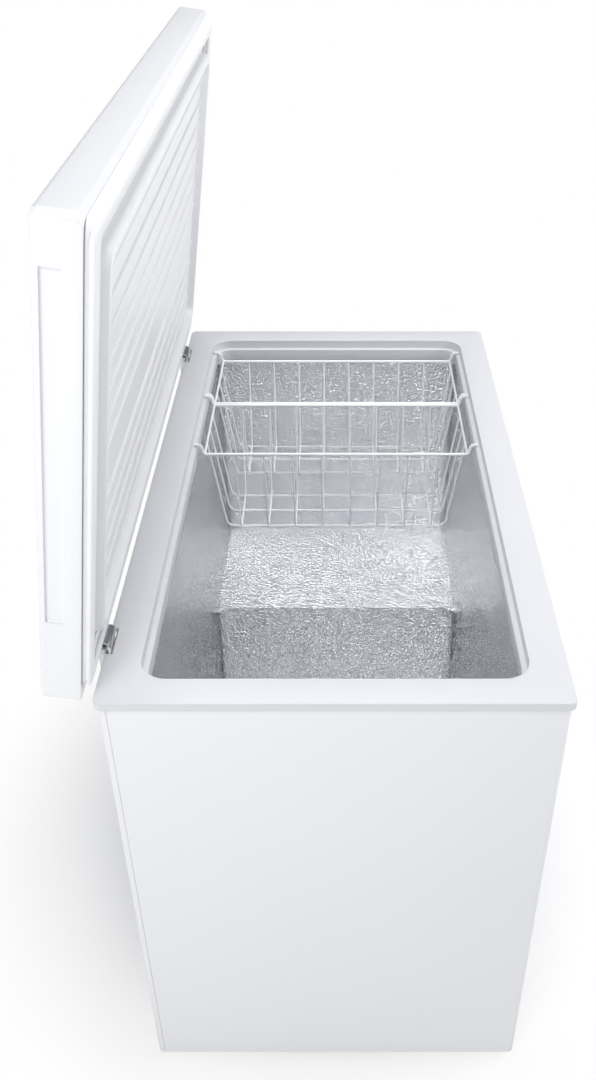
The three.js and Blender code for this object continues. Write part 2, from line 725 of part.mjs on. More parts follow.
// The seal's outer side carries on the bevel of the lid's front edge.
function lidGasket() {
  const { inset, width, corner, clear } = GASKET;
  const top = LID_UNDER - GAP;
  const foot = COLLAR.top + GAP - PIVOT.z;
  const mid = (top + foot) / 2;
  const inner = corner - 4;
  const ring = [
    lidLevel(inset + 2, top, corner, 0, clear),
    lidLevel(inset, top - 1, corner, 2, clear),
    lidLevel(inset + 1, mid, corner, 5, clear),
    lidLevel(inset, foot + 1.2, corner, 8, clear),
    lidLevel(inset + 2, foot, corner, 8, clear),
    lidLevel(inset + width - 2, foot, inner),
    lidLevel(inset + width, foot + 1.2, inner),
    lidLevel(inset + width - 1, mid, inner),
    lidLevel(inset + width, top - 1, inner),
    lidLevel(inset + width - 2, top, inner),
  ];
  place("lid_gasket", skin(ring.reverse(), true), gasketVinyl, lid);
}

// ---- Hinges -------------------------------------------------------------------------------------
const ARM_SCREWS = [22, 38];

function screwPlaces() {
  return [-HINGE_X, HINGE_X].flatMap((x) => ARM_SCREWS.map((z) => [x, z]));
}

// An arc of sheet about the hinge axis, as a closed outline in the plane square to it.
function hoodOutline(r0, r1, from, to) {
  const shape = new THREE.Shape();
  shape.absarc(0, 0, r1, radians(from), radians(to), false);
  shape.absarc(0, 0, r0, radians(to), radians(from), true);
  return shape;
}

// Extrudes an outline drawn in (Y, Z) along X, about the middle plane x.
function alongX(shape, width, x) {
  return new THREE.ExtrudeGeometry(shape, { depth: width, bevelEnabled: false, curveSegments: 12 })
    .translate(0, 0, -width / 2)
    .applyMatrix4(new THREE.Matrix4().set(0, 0, 1, x, 1, 0, 0, 0, 0, 1, 0, 0, 0, 0, 0, 1));
}

// Moving leaf: a hood of sheet steel rolled round the pin, and a plate on the lid's rear edge.
function hingeArm(side, x) {
  const { width, hood, hoodWall } = HINGE;
  const arc = alongX(hoodOutline(hood - hoodWall, hood, 90, 250), width, x);
  const y = LID_BACK + GAP;
  const plate = box([x - width / 2, y, 8], [x + width / 2, y + hoodWall, 46]);
  const bridge = box([x - width / 2, -0.5, hood - hoodWall], [x + width / 2, y + hoodWall, hood]);
  const bores = ARM_SCREWS.map((z) => solid(rod(1.9, y - 3, y + 5, [x, z], "y", 10)));
  place(`hinge_${side}_arm`, cut(join([arc, plate, bridge].map(solid)), bores), hingeSteel, lid);
}

function armScrew(name, x, z) {
  const y = LID_BACK + GAP + HINGE.hoodWall + 0.1;
  const head = new THREE.SphereGeometry(4, 12, 8).scale(1, 0.55, 1).translate(x, y, z);
  const front = box([x - 5, y, z - 5], [x + 5, y + 5, z + 5]);
  const shank = rod(1.5, y - 14, y + 0.5, [x, z], "y", 8);
  place(name, solid(head).intersect(solid(front)).add(solid(shank)), zincSteel, lid);
}

// Fixed leaf: a plate on the cabinet's back with two cheeks that carry the pin.
function hingeBase(side, x) {
  const { width, pin, cheek } = HINGE;
  const y = shellY + GAP;
  const plate = box([x - 30, y, CABINET.top - 96], [x + 30, y + 2, CABINET.top - 4]);
  const cheeks = [-1, 1].flatMap((end) => {
    const at = x + end * (width / 2 + 0.6 + cheek / 2);
    const ear = rod(6, at - cheek / 2, at + cheek / 2, [PIVOT.y, PIVOT.z], "x", 20);
    const web = box([at - cheek / 2, y, CABINET.top - 60], [at + cheek / 2, PIVOT.y + 6, PIVOT.z]);
    return [ear, web];
  });
  const bore = rod(pin + GAP / 2, x - 25, x + 25, [PIVOT.y, PIVOT.z], "x", 16);
  const holes = [-1, 1].map((end) => rod(2.2, y - 2, y + 4, [x + end * 22, CABINET.top - 78], "y", 10));
  place(`hinge_${side}_base`, cut(join([plate, ...cheeks].map(solid)), [bore, ...holes].map(solid)), hingeSteel);

  const half = width / 2 + 0.6 + cheek;
  const shaft = rod(pin, x - half - 0.5, x + half + 0.5, [PIVOT.y, PIVOT.z], "x", 16);
  const heads = [-1, 1].map((end) =>
    rod(4.4, x + end * (half + 1.3) - 0.9, x + end * (half + 1.3) + 0.9, [PIVOT.y, PIVOT.z], "x", 16),
  );
  place(`hinge_${side}_pin`, join([shaft, ...heads].map(solid)), zincSteel);

  const turns = 5;
  const coil = [];
  for (let i = 0; i <= turns * 8; i++) {
    const a = (i / 8) * 2 * Math.PI;
    const along = x - 10 + (20 * i) / (turns * 8);
    coil.push(vec(along, PIVOT.y + 5.6 * Math.cos(a), PIVOT.z + 5.6 * Math.sin(a)));
  }
  place(`hinge_${side}_spring`, wire(coil, 1, 6), zincSteel);
  [-1, 1].forEach((end) => {
    const at = [x + end * 22, CABINET.top - 78];
    const head = rod(4, y + 2 + GAP, y + 4.4, at, "y", 12);
    const shank = rod(1.8, y + GAP, y + 3, at, "y", 8);
    place(`hinge_${side}_screw_${end < 0 ? "a" : "b"}`, join([head, shank].map(solid)), zincSteel);
  });
}

// ---- Baskets ------------------------------------------------------------------------------------
function basketWires() {
  const { endTop, endBottom, barZ, bottomZ, hanger, frame, wire: thin, pitch, runPitch, bend } = BASKET;
  const half = BASKET.width / 2;
  const low = BASKET.bottomWidth / 2;
  const hookZ = COLLAR.top - COLLAR.step + hanger + GAP;
  const hookEnd = OUTER.y - COLLAR.flat - 2.5;
  const wires = [];
  for (const x of [-half, half]) {
    const hook = [
      vec(x, -hookEnd, hookZ),
      vec(x, -endTop - 5, hookZ),
      vec(x, -endTop - 2, barZ),
      vec(x, endTop + 2, barZ),
      vec(x, endTop + 5, hookZ),
      vec(x, hookEnd, hookZ),
    ];
    wires.push(wire(rounded(hook, 7), hanger, 8));
  }
  for (const y of [-endTop, endTop]) wires.push(wire([vec(-half, y, barZ), vec(half, y, barZ)], frame, 8));
  for (let i = 0; i < BASKET.crossWires; i++) {
    const y = (i - (BASKET.crossWires - 1) / 2) * pitch;
    const hoop = [vec(-half, y, barZ), vec(-low, y, bottomZ), vec(low, y, bottomZ), vec(half, y, barZ)];
    wires.push(wire(rounded(hoop, bend), thin));
  }
  const lift = 2 * thin - 0.5; // the long wires lie on the hoops and are welded to them
  for (const x of [-runPitch, 0, runPitch]) {
    const run = [
      vec(x, -endTop, barZ),
      vec(x, -endBottom, bottomZ + lift),
      vec(x, endBottom, bottomZ + lift),
      vec(x, endTop, barZ),
    ];
    wires.push(wire(rounded(run, bend), thin));
  }
  return geometryOf(join(wires.map(solid)));
}

function baskets() {
  const shape = basketWires();
  for (const [name, x] of Object.entries(BASKET_X)) place(`basket_${name}`, shape, coatedWire).position.x = x;
}

// ---- Build --------------------------------------------------------------------------------------
cabinetWrap();
backPanel();
basePan();
topCollar();
innerLiner();
insulation();
compressorPlate();
compressor();
mountCorners().forEach((corner, i) => grommet(`compressor_grommet_${i + 1}`, corner));
coolingPipes();
sideGrille();
controls();
drain();
cordGland();
[
  [-1, -1],
  [1, -1],
  [-1, 1],
  [1, 1],
].forEach(([sx, sy], i) => foot(`foot_${i + 1}`, sx * (shellX - 55), sy * (shellY - 55)));
lidShell();
lidFoam();
lidLiner();
lidGasket();
for (const [side, x] of [
  ["left", -HINGE_X],
  ["right", HINGE_X],
]) {
  hingeBase(side, x);
  hingeArm(side, x);
  ARM_SCREWS.forEach((z, i) => armScrew(`hinge_${side}_arm_screw_${"ab"[i]}`, x, z));
}
baskets();

// The origin is on the floor, in the middle of the box that the freezer fills with its lid open.
freezer.updateMatrixWorld(true);
freezer.position.y = -new THREE.Box3().setFromObject(freezer, true).getCenter(new THREE.Vector3()).y;

export default freezer;
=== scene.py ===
# %% [markdown]
# # A chest freezer with its lid open
# The finished freezer is laid over a plain measured frame. The frame says where every piece sits and
# how it moves. This notebook models the pieces that show, gives every surface its finish, and sets
# the light and the camera. Lengths are in metres, +Z is up and the front of the freezer faces -Y.

# %% Load the frame
import json
import math

import bmesh
import bpy
from mathutils import Matrix, Vector


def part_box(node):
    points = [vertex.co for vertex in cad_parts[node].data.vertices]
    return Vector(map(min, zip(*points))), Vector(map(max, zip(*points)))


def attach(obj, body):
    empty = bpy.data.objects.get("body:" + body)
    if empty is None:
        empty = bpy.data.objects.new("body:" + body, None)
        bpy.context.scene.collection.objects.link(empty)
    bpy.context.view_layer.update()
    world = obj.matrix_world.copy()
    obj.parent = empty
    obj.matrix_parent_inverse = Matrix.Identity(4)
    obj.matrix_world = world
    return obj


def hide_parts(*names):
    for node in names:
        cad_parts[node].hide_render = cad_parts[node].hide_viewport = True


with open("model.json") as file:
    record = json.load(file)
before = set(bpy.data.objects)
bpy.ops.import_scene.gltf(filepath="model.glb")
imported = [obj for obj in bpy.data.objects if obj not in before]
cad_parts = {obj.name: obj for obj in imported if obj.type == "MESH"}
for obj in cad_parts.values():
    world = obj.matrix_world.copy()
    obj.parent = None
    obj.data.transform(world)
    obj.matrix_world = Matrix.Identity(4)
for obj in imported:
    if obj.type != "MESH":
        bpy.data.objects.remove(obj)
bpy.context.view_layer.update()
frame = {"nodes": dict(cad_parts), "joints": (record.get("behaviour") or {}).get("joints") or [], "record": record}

# %% [markdown]
# ## Where things are
# Every size comes from the frame, so that a change there carries through. `MID` is the plane halfway
# between the cabinet's front and back. The lid is drawn closed and then turned open about its hinge.

# %% Main sizes
MM = 0.001
collar_low, collar_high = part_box("top_collar")
REACH_X = collar_high.x
REACH_Y = (collar_high.y - collar_low.y) / 2
MID = (collar_high.y + collar_low.y) / 2
COLLAR_TOP = collar_high.z
THINNER = 3.5 * MM
hinge_joint = next(joint for joint in frame["joints"] if joint["name"] == "lid_hinge")
AXIS = Vector(hinge_joint["pos_m"])
OPEN = math.radians(-hinge_joint["range_deg"][0])
print("middle plane", round(MID, 5), "axis", [round(v, 4) for v in AXIS])

# %% [markdown]
# ## Camera
# The camera stands off the left-hand end, above the rim, and looks down the length of the well. The
# tilt is what shows the step and the baskets; a small sideways shift keeps the open lid in view.

# %% Camera
clear_view = bpy.data.cameras.new("camera")
clear_view.sensor_fit = "AUTO"
clear_view.sensor_width = 36
clear_view.lens = 35.2
clear_view.shift_x = -0.0375
clear_view.clip_start = 0.02
camera = bpy.data.objects.new("camera", clear_view)
camera.location = (-1.4148, MID - 4 * MM, 1.6415)
camera.rotation_euler = (math.radians(90 - 35.27), 0, math.radians(-90))
bpy.context.collection.objects.link(camera)
bpy.context.scene.camera = camera

# %% [markdown]
# ## Light
# White enamel in a white studio is shaped only by small differences of light. One lamp over the well
# lights the inside and a wide one lights the near end. A lower one at the left, behind the lid, lights
# the lid's end, and one in front lights the long side and the inside of the lid. The surroundings are
# white to the camera but give much less light than that, so that metal and gloss have something to show.

# %% Studio
def lamp(name, place, aim, size, watts):
    light = bpy.data.lights.new(name, "AREA")
    light.shape = "RECTANGLE"
    light.size, light.size_y = size
    light.energy = watts
    holder = bpy.data.objects.new(name, light)
    holder.location = place
    holder.rotation_mode = "QUATERNION"
    holder.rotation_quaternion = (Vector(aim) - Vector(place)).to_track_quat("-Z", "Y")
    bpy.context.collection.objects.link(holder)


lamp("lamp_over", (0.6, MID, 3.0), (0.1, MID, 0.5), (0.6, 0.6), 22)
lamp("lamp_near", (-2.0, MID + 0.2, 3.0), (0, MID, 0.4), (1.4, 1.2), 27)
lamp("lamp_end", (-1.9, 1.1, 1.4), (-0.5, 0, 0.8), (1.0, 1.0), 12)
lamp("lamp_front", (0.1, -1.9, 1.9), (0, 0.1, 0.8), (1.6, 1.0), 30)

world = bpy.data.worlds.new("studio")
bpy.context.scene.world = world
world.use_nodes = True
seen = world.node_tree.nodes["Background"]
seen.inputs["Color"].default_value = (1, 1, 1, 1)
seen.inputs["Strength"].default_value = 1.0
glow = world.node_tree.nodes.new("ShaderNodeBackground")
glow.inputs["Color"].default_value = (0.90, 0.93, 1, 1)
glow.inputs["Strength"].default_value = 0.25
path = world.node_tree.nodes.new("ShaderNodeLightPath")
either = world.node_tree.nodes.new("ShaderNodeMixShader")
world.node_tree.links.new(path.outputs["Is Camera Ray"], either.inputs[0])
world.node_tree.links.new(glow.outputs[0], either.inputs[1])
world.node_tree.links.new(seen.outputs[0], either.inputs[2])
world.node_tree.links.new(either.outputs[0], world.node_tree.nodes["World Output"].inputs["Surface"])
bpy.context.scene.view_settings.view_transform = "Standard"

# %% [markdown]
# ## Writing a finish
# A finish is a small network of nodes. `Value` wraps one number in that network, so that sums on it
# can be written as Python sums. `Finish` holds the material and makes every other node.

# %% Shader sums
class Value:
    def __init__(self, tree, socket):
        self.tree = tree
        self.socket = socket

    def sum(self, operation, first, second):
        node = self.tree.nodes.new("ShaderNodeMath")
        node.operation = operation
        for socket, value in zip(node.inputs, (first, second)):
            connect(self.tree, socket, value)
        return Value(self.tree, node.outputs[0])

    def __add__(self, other):
        return self.sum("ADD", self, other)

    def __mul__(self, other):
        return self.sum("MULTIPLY", self, other)

    def __rsub__(self, other):
        return self.sum("SUBTRACT", other, self)

    __radd__ = __add__
    __rmul__ = __mul__


def connect(tree, socket, value):
    if isinstance(value, Value):
        tree.links.new(value.socket, socket)
    elif value is not None:
        socket.default_value = value


class Finish:
    def __init__(self, name, **fixed):
        self.material = bpy.data.materials.new(name)
        self.material.use_nodes = True
        self.tree = self.material.node_tree
        self.shader = self.tree.nodes["Principled BSDF"]
        for socket, value in fixed.items():
            self.set(socket.replace("_", " "), value)
        self.place = self.node("ShaderNodeTexCoord", output="Object")

    def node(self, kind, settings=None, output=0, **inputs):
        made = self.tree.nodes.new(kind)
        for key, value in (settings or {}).items():
            setattr(made, key, value)
        for key, value in inputs.items():
            connect(self.tree, made.inputs[key.replace("_", " ")], value)
        return Value(self.tree, made.outputs[output])

    def set(self, socket, value):
        names = {name.lower(): name for name in self.shader.inputs.keys()}
        connect(self.tree, self.shader.inputs[names[socket.lower()]], value)

    def stretched(self, scale):
        """Places squeezed along an axis, which draws a pattern out along it."""
        return self.node("ShaderNodeMapping", Vector=self.place, Scale=scale)

    def noise(self, size, detail=3.0, at=None):
        """Soft noise whose patches are about size across."""
        return self.node("ShaderNodeTexNoise", output="Fac", Vector=at or self.place, Scale=1 / size,
                         Detail=detail, Roughness=0.55)

    def cells(self, size):
        """Distance to the nearest of points about size apart."""
        return self.node("ShaderNodeTexVoronoi", output="Distance", Vector=self.place, Scale=1 / size)

    def tint(self, amount, first, second):
        """A colour between two, by an amount from 0 to 1."""
        blend = self.tree.nodes.new("ShaderNodeMix")
        blend.data_type = "RGBA"
        connect(self.tree, blend.inputs["Factor"], amount)
        blend.inputs[6].default_value = (*first, 1)
        blend.inputs[7].default_value = (*second, 1)
        return Value(self.tree, blend.outputs[2])

    def relief(self, height, depth, strength=1.0, over=None):
        """A bump of that depth, laid over another one if it is given."""
        return self.node("ShaderNodeBump", output="Normal", Height=height, Distance=depth, Strength=strength,
                         Normal=over)


# %% [markdown]
# ## White finishes
# The sheet steel is painted before it is folded, and the paint dries with a faint orange peel. The
# collar and the lid's inner panel are formed plastic, flatter in shine and very slightly grained. The
# seal is soft vinyl, and the baskets have a thick glossy coat that pools a little on the wire.

# %% Paint, plastic, vinyl and coated wire
def painted_steel():
    paint = Finish("baked_paint", coat_weight=0.25, coat_roughness=0.12, ior=1.5)
    cloud = paint.noise(0.45, 2)
    paint.set("base color", paint.tint(cloud, (0.80, 0.805, 0.83), (0.83, 0.835, 0.855)))
    paint.set("roughness", 0.29 + paint.noise(0.02, 4) * 0.08)
    peel = paint.noise(0.0035, 2)
    paint.set("normal", paint.relief(peel, 0.00002))
    return paint.material


def formed_plastic(name, light, dark, rough):
    plastic = Finish(name, ior=1.49, subsurface_weight=0.04, subsurface_radius=(0.004, 0.004, 0.004))
    plastic.set("base color", plastic.tint(plastic.noise(0.12, 3), dark, light))
    plastic.set("roughness", rough + plastic.noise(0.006, 3) * 0.12)
    grain = plastic.noise(0.0009, 2)
    waves = plastic.noise(0.05, 1)
    plastic.set("normal", plastic.relief(waves, 0.0008, 1.0, plastic.relief(grain, 0.00003)))
    return plastic.material


def seal_vinyl():
    vinyl = Finish("seal_vinyl", ior=1.45, sheen_weight=0.08)
    vinyl.set("base color", vinyl.tint(vinyl.noise(0.08, 4), (0.79, 0.80, 0.815), (0.85, 0.855, 0.865)))
    vinyl.set("roughness", 0.5 + vinyl.noise(0.004, 2) * 0.14)
    vinyl.set("normal", vinyl.relief(vinyl.noise(0.0012, 2), 0.00005))
    return vinyl.material


def coated_wire():
    coat = Finish("wire_coating", coat_weight=0.5, coat_roughness=0.08, ior=1.5)
    coat.set("base color", coat.tint(coat.noise(0.03, 3), (0.86, 0.865, 0.885), (0.91, 0.915, 0.93)))
    coat.set("roughness", 0.29 + coat.noise(0.008, 3) * 0.12)
    coat.set("normal", coat.relief(coat.noise(0.006, 2), 0.00025))
    return coat.material


# %% [markdown]
# ## Metals
# The liner is thin aluminium rolled with a stucco pattern: low rounded lumps a few millimetres apart,
# crowded and uneven, each catching a spark of light. On the long walls the pattern is shallower.
# Hinges are bright steel with a lengthwise grain, and the zinc plate has crystal patches.

# %% Aluminium, steel, zinc, copper
def embossed_aluminium(name, depth, rough):
    """Rolled stucco: crowded lumps about five millimetres apart, pushed out of line by fine noise."""
    metal = Finish(name, metallic=1.0)
    drift = metal.node("ShaderNodeTexNoise", output="Color", Vector=metal.place, Scale=260, Detail=1.0)
    crooked = metal.node("ShaderNodeVectorMath", {"operation": "MULTIPLY_ADD"}, output="Vector")
    for socket, value in zip(crooked.socket.node.inputs, (drift, (0.004, 0.004, 0.004), metal.place)):
        connect(metal.tree, socket, value)
    lumps = metal.node("ShaderNodeTexVoronoi", {"feature": "SMOOTH_F1"}, output="Distance", Vector=crooked,
                       Scale=210, Smoothness=0.25)
    metal.set("base color", metal.tint(metal.noise(0.25, 3), (0.86, 0.87, 0.895), (0.93, 0.935, 0.95)))
    metal.set("roughness", rough + metal.noise(0.02, 3) * 0.06)
    metal.set("normal", metal.relief(1 - lumps, depth))
    return metal.material


def grained_steel(name, colour, rough, along=(0.04, 1, 1)):
    steel = Finish(name, metallic=1.0)
    grain = steel.noise(0.0009, 4, steel.stretched(along))
    steel.set("base color", steel.tint(grain, [c * 0.8 for c in colour], colour))
    steel.set("roughness", rough + grain * 0.1)
    steel.set("normal", steel.relief(grain, 0.00004))
    return steel.material


def zinc_plate():
    zinc = Finish("zinc_plate", metallic=1.0)
    patch = zinc.node("ShaderNodeTexVoronoi", output="Color", Vector=zinc.place, Scale=90)
    shade = zinc.node("ShaderNodeSeparateColor", output="Red", Color=patch)
    zinc.set("base color", zinc.tint(shade, (0.5, 0.52, 0.54), (0.68, 0.70, 0.72)))
    zinc.set("roughness", 0.3 + shade * 0.2)
    zinc.set("normal", zinc.relief(zinc.noise(0.002, 3), 0.00005))
    return zinc.material


def tube_copper():
    copper = Finish("copper_tube", metallic=1.0)
    stain = copper.noise(0.02, 5)
    copper.set("base color", copper.tint(stain, (0.83, 0.48, 0.30), (0.42, 0.23, 0.15)))
    copper.set("roughness", 0.29 + stain * 0.3)
    copper.set("normal", copper.relief(copper.noise(0.003, 3), 0.00006))
    return copper.material


# %% [markdown]
# ## Dark and hidden finishes
# The machine bay shows only as glints behind the louvres, but it is finished all the same: stoved
# black enamel on the compressor, rubber bushes and feet, and pale foam with small open cells.

# %% Enamel, rubber, foam, grey plastic, lens
def black_enamel():
    enamel = Finish("stoved_enamel", ior=1.5, coat_weight=0.2)
    enamel.set("base color", enamel.tint(enamel.noise(0.03, 4), (0.012, 0.012, 0.013), (0.03, 0.03, 0.032)))
    enamel.set("roughness", 0.32 + enamel.noise(0.006, 3) * 0.2)
    enamel.set("normal", enamel.relief(enamel.noise(0.0025, 2), 0.0001))
    return enamel.material


def dark_rubber():
    rubber = Finish("dark_rubber", ior=1.45)
    dust = rubber.noise(0.015, 5)
    rubber.set("base color", rubber.tint(dust, (0.018, 0.018, 0.019), (0.06, 0.059, 0.057)))
    rubber.set("roughness", 0.66 + dust * 0.25)
    rubber.set("normal", rubber.relief(rubber.noise(0.001, 3), 0.0001))
    return rubber.material


def rigid_foam():
    foam = Finish("rigid_foam", ior=1.3)
    foam.set("base color", foam.tint(foam.noise(0.02, 5), (0.78, 0.66, 0.40), (0.90, 0.82, 0.58)))
    foam.set("roughness", 0.85 + foam.noise(0.003, 2) * 0.1)
    foam.set("normal", foam.relief(foam.cells(0.0016), 0.0005))
    return foam.material


def moulded_grey(name, colour, rough):
    grey = Finish(name, ior=1.49)
    grey.set("base color", grey.tint(grey.noise(0.05, 4), [c * 0.93 for c in colour], colour))
    grey.set("roughness", rough + grey.noise(0.004, 3) * 0.15)
    grey.set("normal", grey.relief(grey.noise(0.0007, 2), 0.00005))
    return grey.material


def lit_lens():
    lens = Finish("lamp_lens", ior=1.49, coat_weight=0.6, emission_strength=0.4)
    ring = lens.cells(0.0012)
    lens.set("base color", lens.tint(ring, (0.10, 0.55, 0.20), (0.28, 0.78, 0.36)))
    lens.set("emission color", lens.tint(ring, (0.04, 0.5, 0.12), (0.15, 0.8, 0.25)))
    lens.set("roughness", 0.1 + lens.noise(0.002, 2) * 0.1)
    return lens.material


PAINT = painted_steel()
COLLAR_PLASTIC = formed_plastic("collar_plastic", (0.69, 0.695, 0.715), (0.66, 0.665, 0.69), 0.42)
PANEL_PLASTIC = formed_plastic("formed_panel", (0.82, 0.825, 0.84), (0.79, 0.795, 0.815), 0.29)
VINYL = seal_vinyl()
WIRE_COAT = coated_wire()
STUCCO = embossed_aluminium("stucco_aluminium", 0.003, 0.09)
SOFT_STUCCO = embossed_aluminium("soft_stucco_aluminium", 0.0014, 0.09)
BRIGHT_STEEL = grained_steel("bright_steel", (0.66, 0.67, 0.69), 0.16)
SCREW_STEEL = grained_steel("screw_steel", (0.58, 0.59, 0.6), 0.29, (1, 1, 0.2))
ZINC = zinc_plate()
COPPER = tube_copper()
ENAMEL = black_enamel()
RUBBER = dark_rubber()
FOAM = rigid_foam()
GREY = moulded_grey("grey_moulding", (0.60, 0.62, 0.65), 0.38)
PALE = moulded_grey("pale_moulding", (0.86, 0.865, 0.88), 0.32)
INK = moulded_grey("printed_ink", (0.10, 0.11, 0.13), 0.4)
LENS = lit_lens()

# %% [markdown]
# ## Modelling helpers
# Most of this freezer is rounded rectangles stacked one on another: the body, the collar, the lid and
# its seal. So one helper adds a rectangle and rounds its corners, and another bridges a whole stack of
# them. The rest start from a plain primitive and are pulled into shape the same way.

# %% Selecting and finishing
def nothing_selected():
    if bpy.context.mode != "OBJECT":
        bpy.ops.object.mode_set(mode="OBJECT")
    bpy.ops.object.select_all(action="DESELECT")


def only(piece):
    nothing_selected()
    piece.select_set(True)
    bpy.context.view_layer.objects.active = piece


def begin(name):
    """An empty piece at the origin, ready for editing."""
    nothing_selected()
    bpy.ops.mesh.primitive_plane_add(size=1, location=(0, 0, 0))
    piece = bpy.context.object
    piece.name = name
    piece.data.name = name
    bpy.ops.object.mode_set(mode="EDIT")
    bpy.ops.mesh.select_mode(type="VERT")
    bpy.ops.mesh.select_all(action="SELECT")
    bpy.ops.mesh.delete(type="VERT")
    return piece


def edited():
    shape = bmesh.from_edit_mesh(bpy.context.object.data)
    shape.verts.ensure_lookup_table()
    return shape


def pick_points(test):
    """Selects the points that pass the test, and what lies between them."""
    bpy.ops.mesh.select_mode(type="VERT")
    bpy.ops.mesh.select_all(action="DESELECT")
    shape = edited()
    for point in shape.verts:
        if test(point):
            point.select = True
    shape.select_flush(True)
    bmesh.update_edit_mesh(bpy.context.object.data)


def pick_faces(test):
    """Selects the faces whose middle and normal pass the test."""
    bpy.ops.mesh.select_mode(type="FACE")
    bpy.ops.mesh.select_all(action="DESELECT")
    shape = edited()
    for face in shape.faces:
        if test(face.calc_center_median(), face.normal):
            face.select = True
    bmesh.update_edit_mesh(bpy.context.object.data)


def done(piece, faces_out=True):
    """Ends editing, with the faces turned outwards unless told not to."""
    if bpy.context.mode != "OBJECT":
        if faces_out:
            bpy.ops.mesh.select_all(action="SELECT")
            bpy.ops.mesh.normals_make_consistent(inside=False)
        bpy.ops.object.mode_set(mode="OBJECT")
    return piece


def modify(piece, kind, **settings):
    """Adds one modifier and applies it."""
    only(piece)
    bpy.ops.object.modifier_add(type=kind)
    modifier = piece.modifiers[-1]
    for key, value in settings.items():
        setattr(modifier, key, value)
    bpy.ops.object.modifier_apply(modifier=modifier.name)
    return piece


def soften(piece, width, segments=3, angle=35):
    """Rounds every edge that turns by more than an angle."""
    return modify(piece, "BEVEL", width=width, segments=segments, limit_method="ANGLE",
                  angle_limit=math.radians(angle), use_clamp_overlap=True)


def cut(piece, cutter, operation="DIFFERENCE"):
    """Cuts one piece out of another, or joins it on, and removes it."""
    modify(piece, "BOOLEAN", operation=operation, object=cutter, solver="EXACT")
    bpy.data.objects.remove(cutter)
    return piece


def settle(piece, material, body, *nodes, angle=35, slot=None):
    """Shades a finished piece, gives it its finish, and puts it in the frame."""
    only(piece)
    bpy.ops.object.shade_smooth_by_angle(angle=math.radians(angle))
    if not piece.data.materials:
        piece.data.materials.append(material)
    if nodes:
        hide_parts(*nodes)
    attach(piece, body)
    return piece


def joined(pieces, name):
    """Puts several pieces into one, without merging them."""
    nothing_selected()
    for piece in pieces:
        piece.select_set(True)
    bpy.context.view_layer.objects.active = pieces[0]
    bpy.ops.object.join()
    pieces[0].name = name
    pieces[0].data.name = name
    return pieces[0]


def copied(piece, name, move=(0, 0, 0)):
    """A moved copy with its own mesh."""
    only(piece)
    bpy.ops.object.duplicate(linked=False)
    twin = bpy.context.object
    twin.name = name
    twin.data.name = name
    bpy.ops.transform.translate(value=move)
    bpy.ops.object.transform_apply(location=True, rotation=True, scale=True)
    return twin


# %% Rounded rectangles, boxes and rods
def outline(x, y, z, radius, segments):
    """Adds a rounded rectangle of edges to the piece being edited."""
    middle = (sum(x) / 2, sum(y) / 2, z)
    bpy.ops.mesh.select_all(action="DESELECT")
    bpy.ops.mesh.primitive_plane_add(size=1, location=middle)
    bpy.ops.transform.resize(value=(x[1] - x[0], y[1] - y[0], 1), center_override=middle)
    bpy.ops.mesh.bevel(affect="VERTICES", offset=radius, segments=segments, profile=0.5)
    bpy.ops.mesh.delete(type="ONLY_FACE")


def stack(name, levels, closed=False, caps=(True, True), segments=10):
    """Bridges rounded rectangles, given as (x range, y range, z, corner radius), one after another.

    They are drawn well apart, one above another, bridged there, and only then brought to their heights.
    """
    piece = begin(name)
    drawn = [2 + 0.3 * place for place in range(len(levels))]
    for (x, y, z, radius), height in zip(levels, drawn):
        outline(x, y, height, radius, segments)
    upper = drawn[1:] + (drawn[:1] if closed else [])
    for one, other in zip(drawn, upper):
        pick_points(lambda point: min(abs(point.co.z - one), abs(point.co.z - other)) < 0.01)
        bpy.ops.mesh.bridge_edge_loops()
    for height, wanted in ((drawn[0], caps[0]), (drawn[-1], caps[1])):
        if wanted and not closed:
            pick_points(lambda point: abs(point.co.z - height) < 0.01)
            bpy.ops.mesh.edge_face_add()
    for (x, y, z, radius), height in zip(levels, drawn):
        pick_points(lambda point: abs(point.co.z - height) < 0.01)
        bpy.ops.transform.translate(value=(0, 0, z - height))
    return done(piece)


def bar(name, low, high):
    """A block between two corners."""
    nothing_selected()
    bpy.ops.mesh.primitive_cube_add(size=1, location=(Vector(low) + Vector(high)) / 2)
    piece = bpy.context.object
    piece.name = name
    piece.data.name = name
    piece.scale = Vector(high) - Vector(low)
    bpy.ops.object.transform_apply(location=True, rotation=True, scale=True)
    return piece


def rounded_bar(name, low, high, axis, radius, segments=6):
    """A block whose four edges along one axis are rounded."""
    piece = bar(name, low, high)
    along = "xyz".index(axis)
    bpy.ops.object.mode_set(mode="EDIT")
    bpy.ops.mesh.select_mode(type="EDGE")
    bpy.ops.mesh.select_all(action="DESELECT")
    for edge in edited().edges:
        span = edge.verts[1].co - edge.verts[0].co
        edge.select_set(abs(span[along]) > 0.99 * span.length)
    bmesh.update_edit_mesh(piece.data)
    bpy.ops.mesh.bevel(offset=radius, segments=segments, affect="EDGES")
    return done(piece)


TURN = {"x": (0, math.pi / 2, 0), "y": (math.pi / 2, 0, 0), "z": (0, 0, 0)}


def rod(name, radius, start, length, axis="z", sides=40):
    """A cylinder of that length from a starting point along an axis."""
    nothing_selected()
    way = Vector((axis == "x", axis == "y", axis == "z"))
    bpy.ops.mesh.primitive_cylinder_add(vertices=sides, radius=radius, depth=abs(length),
                                        location=Vector(start) + way * length / 2, rotation=TURN[axis])
    piece = bpy.context.object
    piece.name = name
    piece.data.name = name
    bpy.ops.object.transform_apply(location=True, rotation=True, scale=True)
    return piece


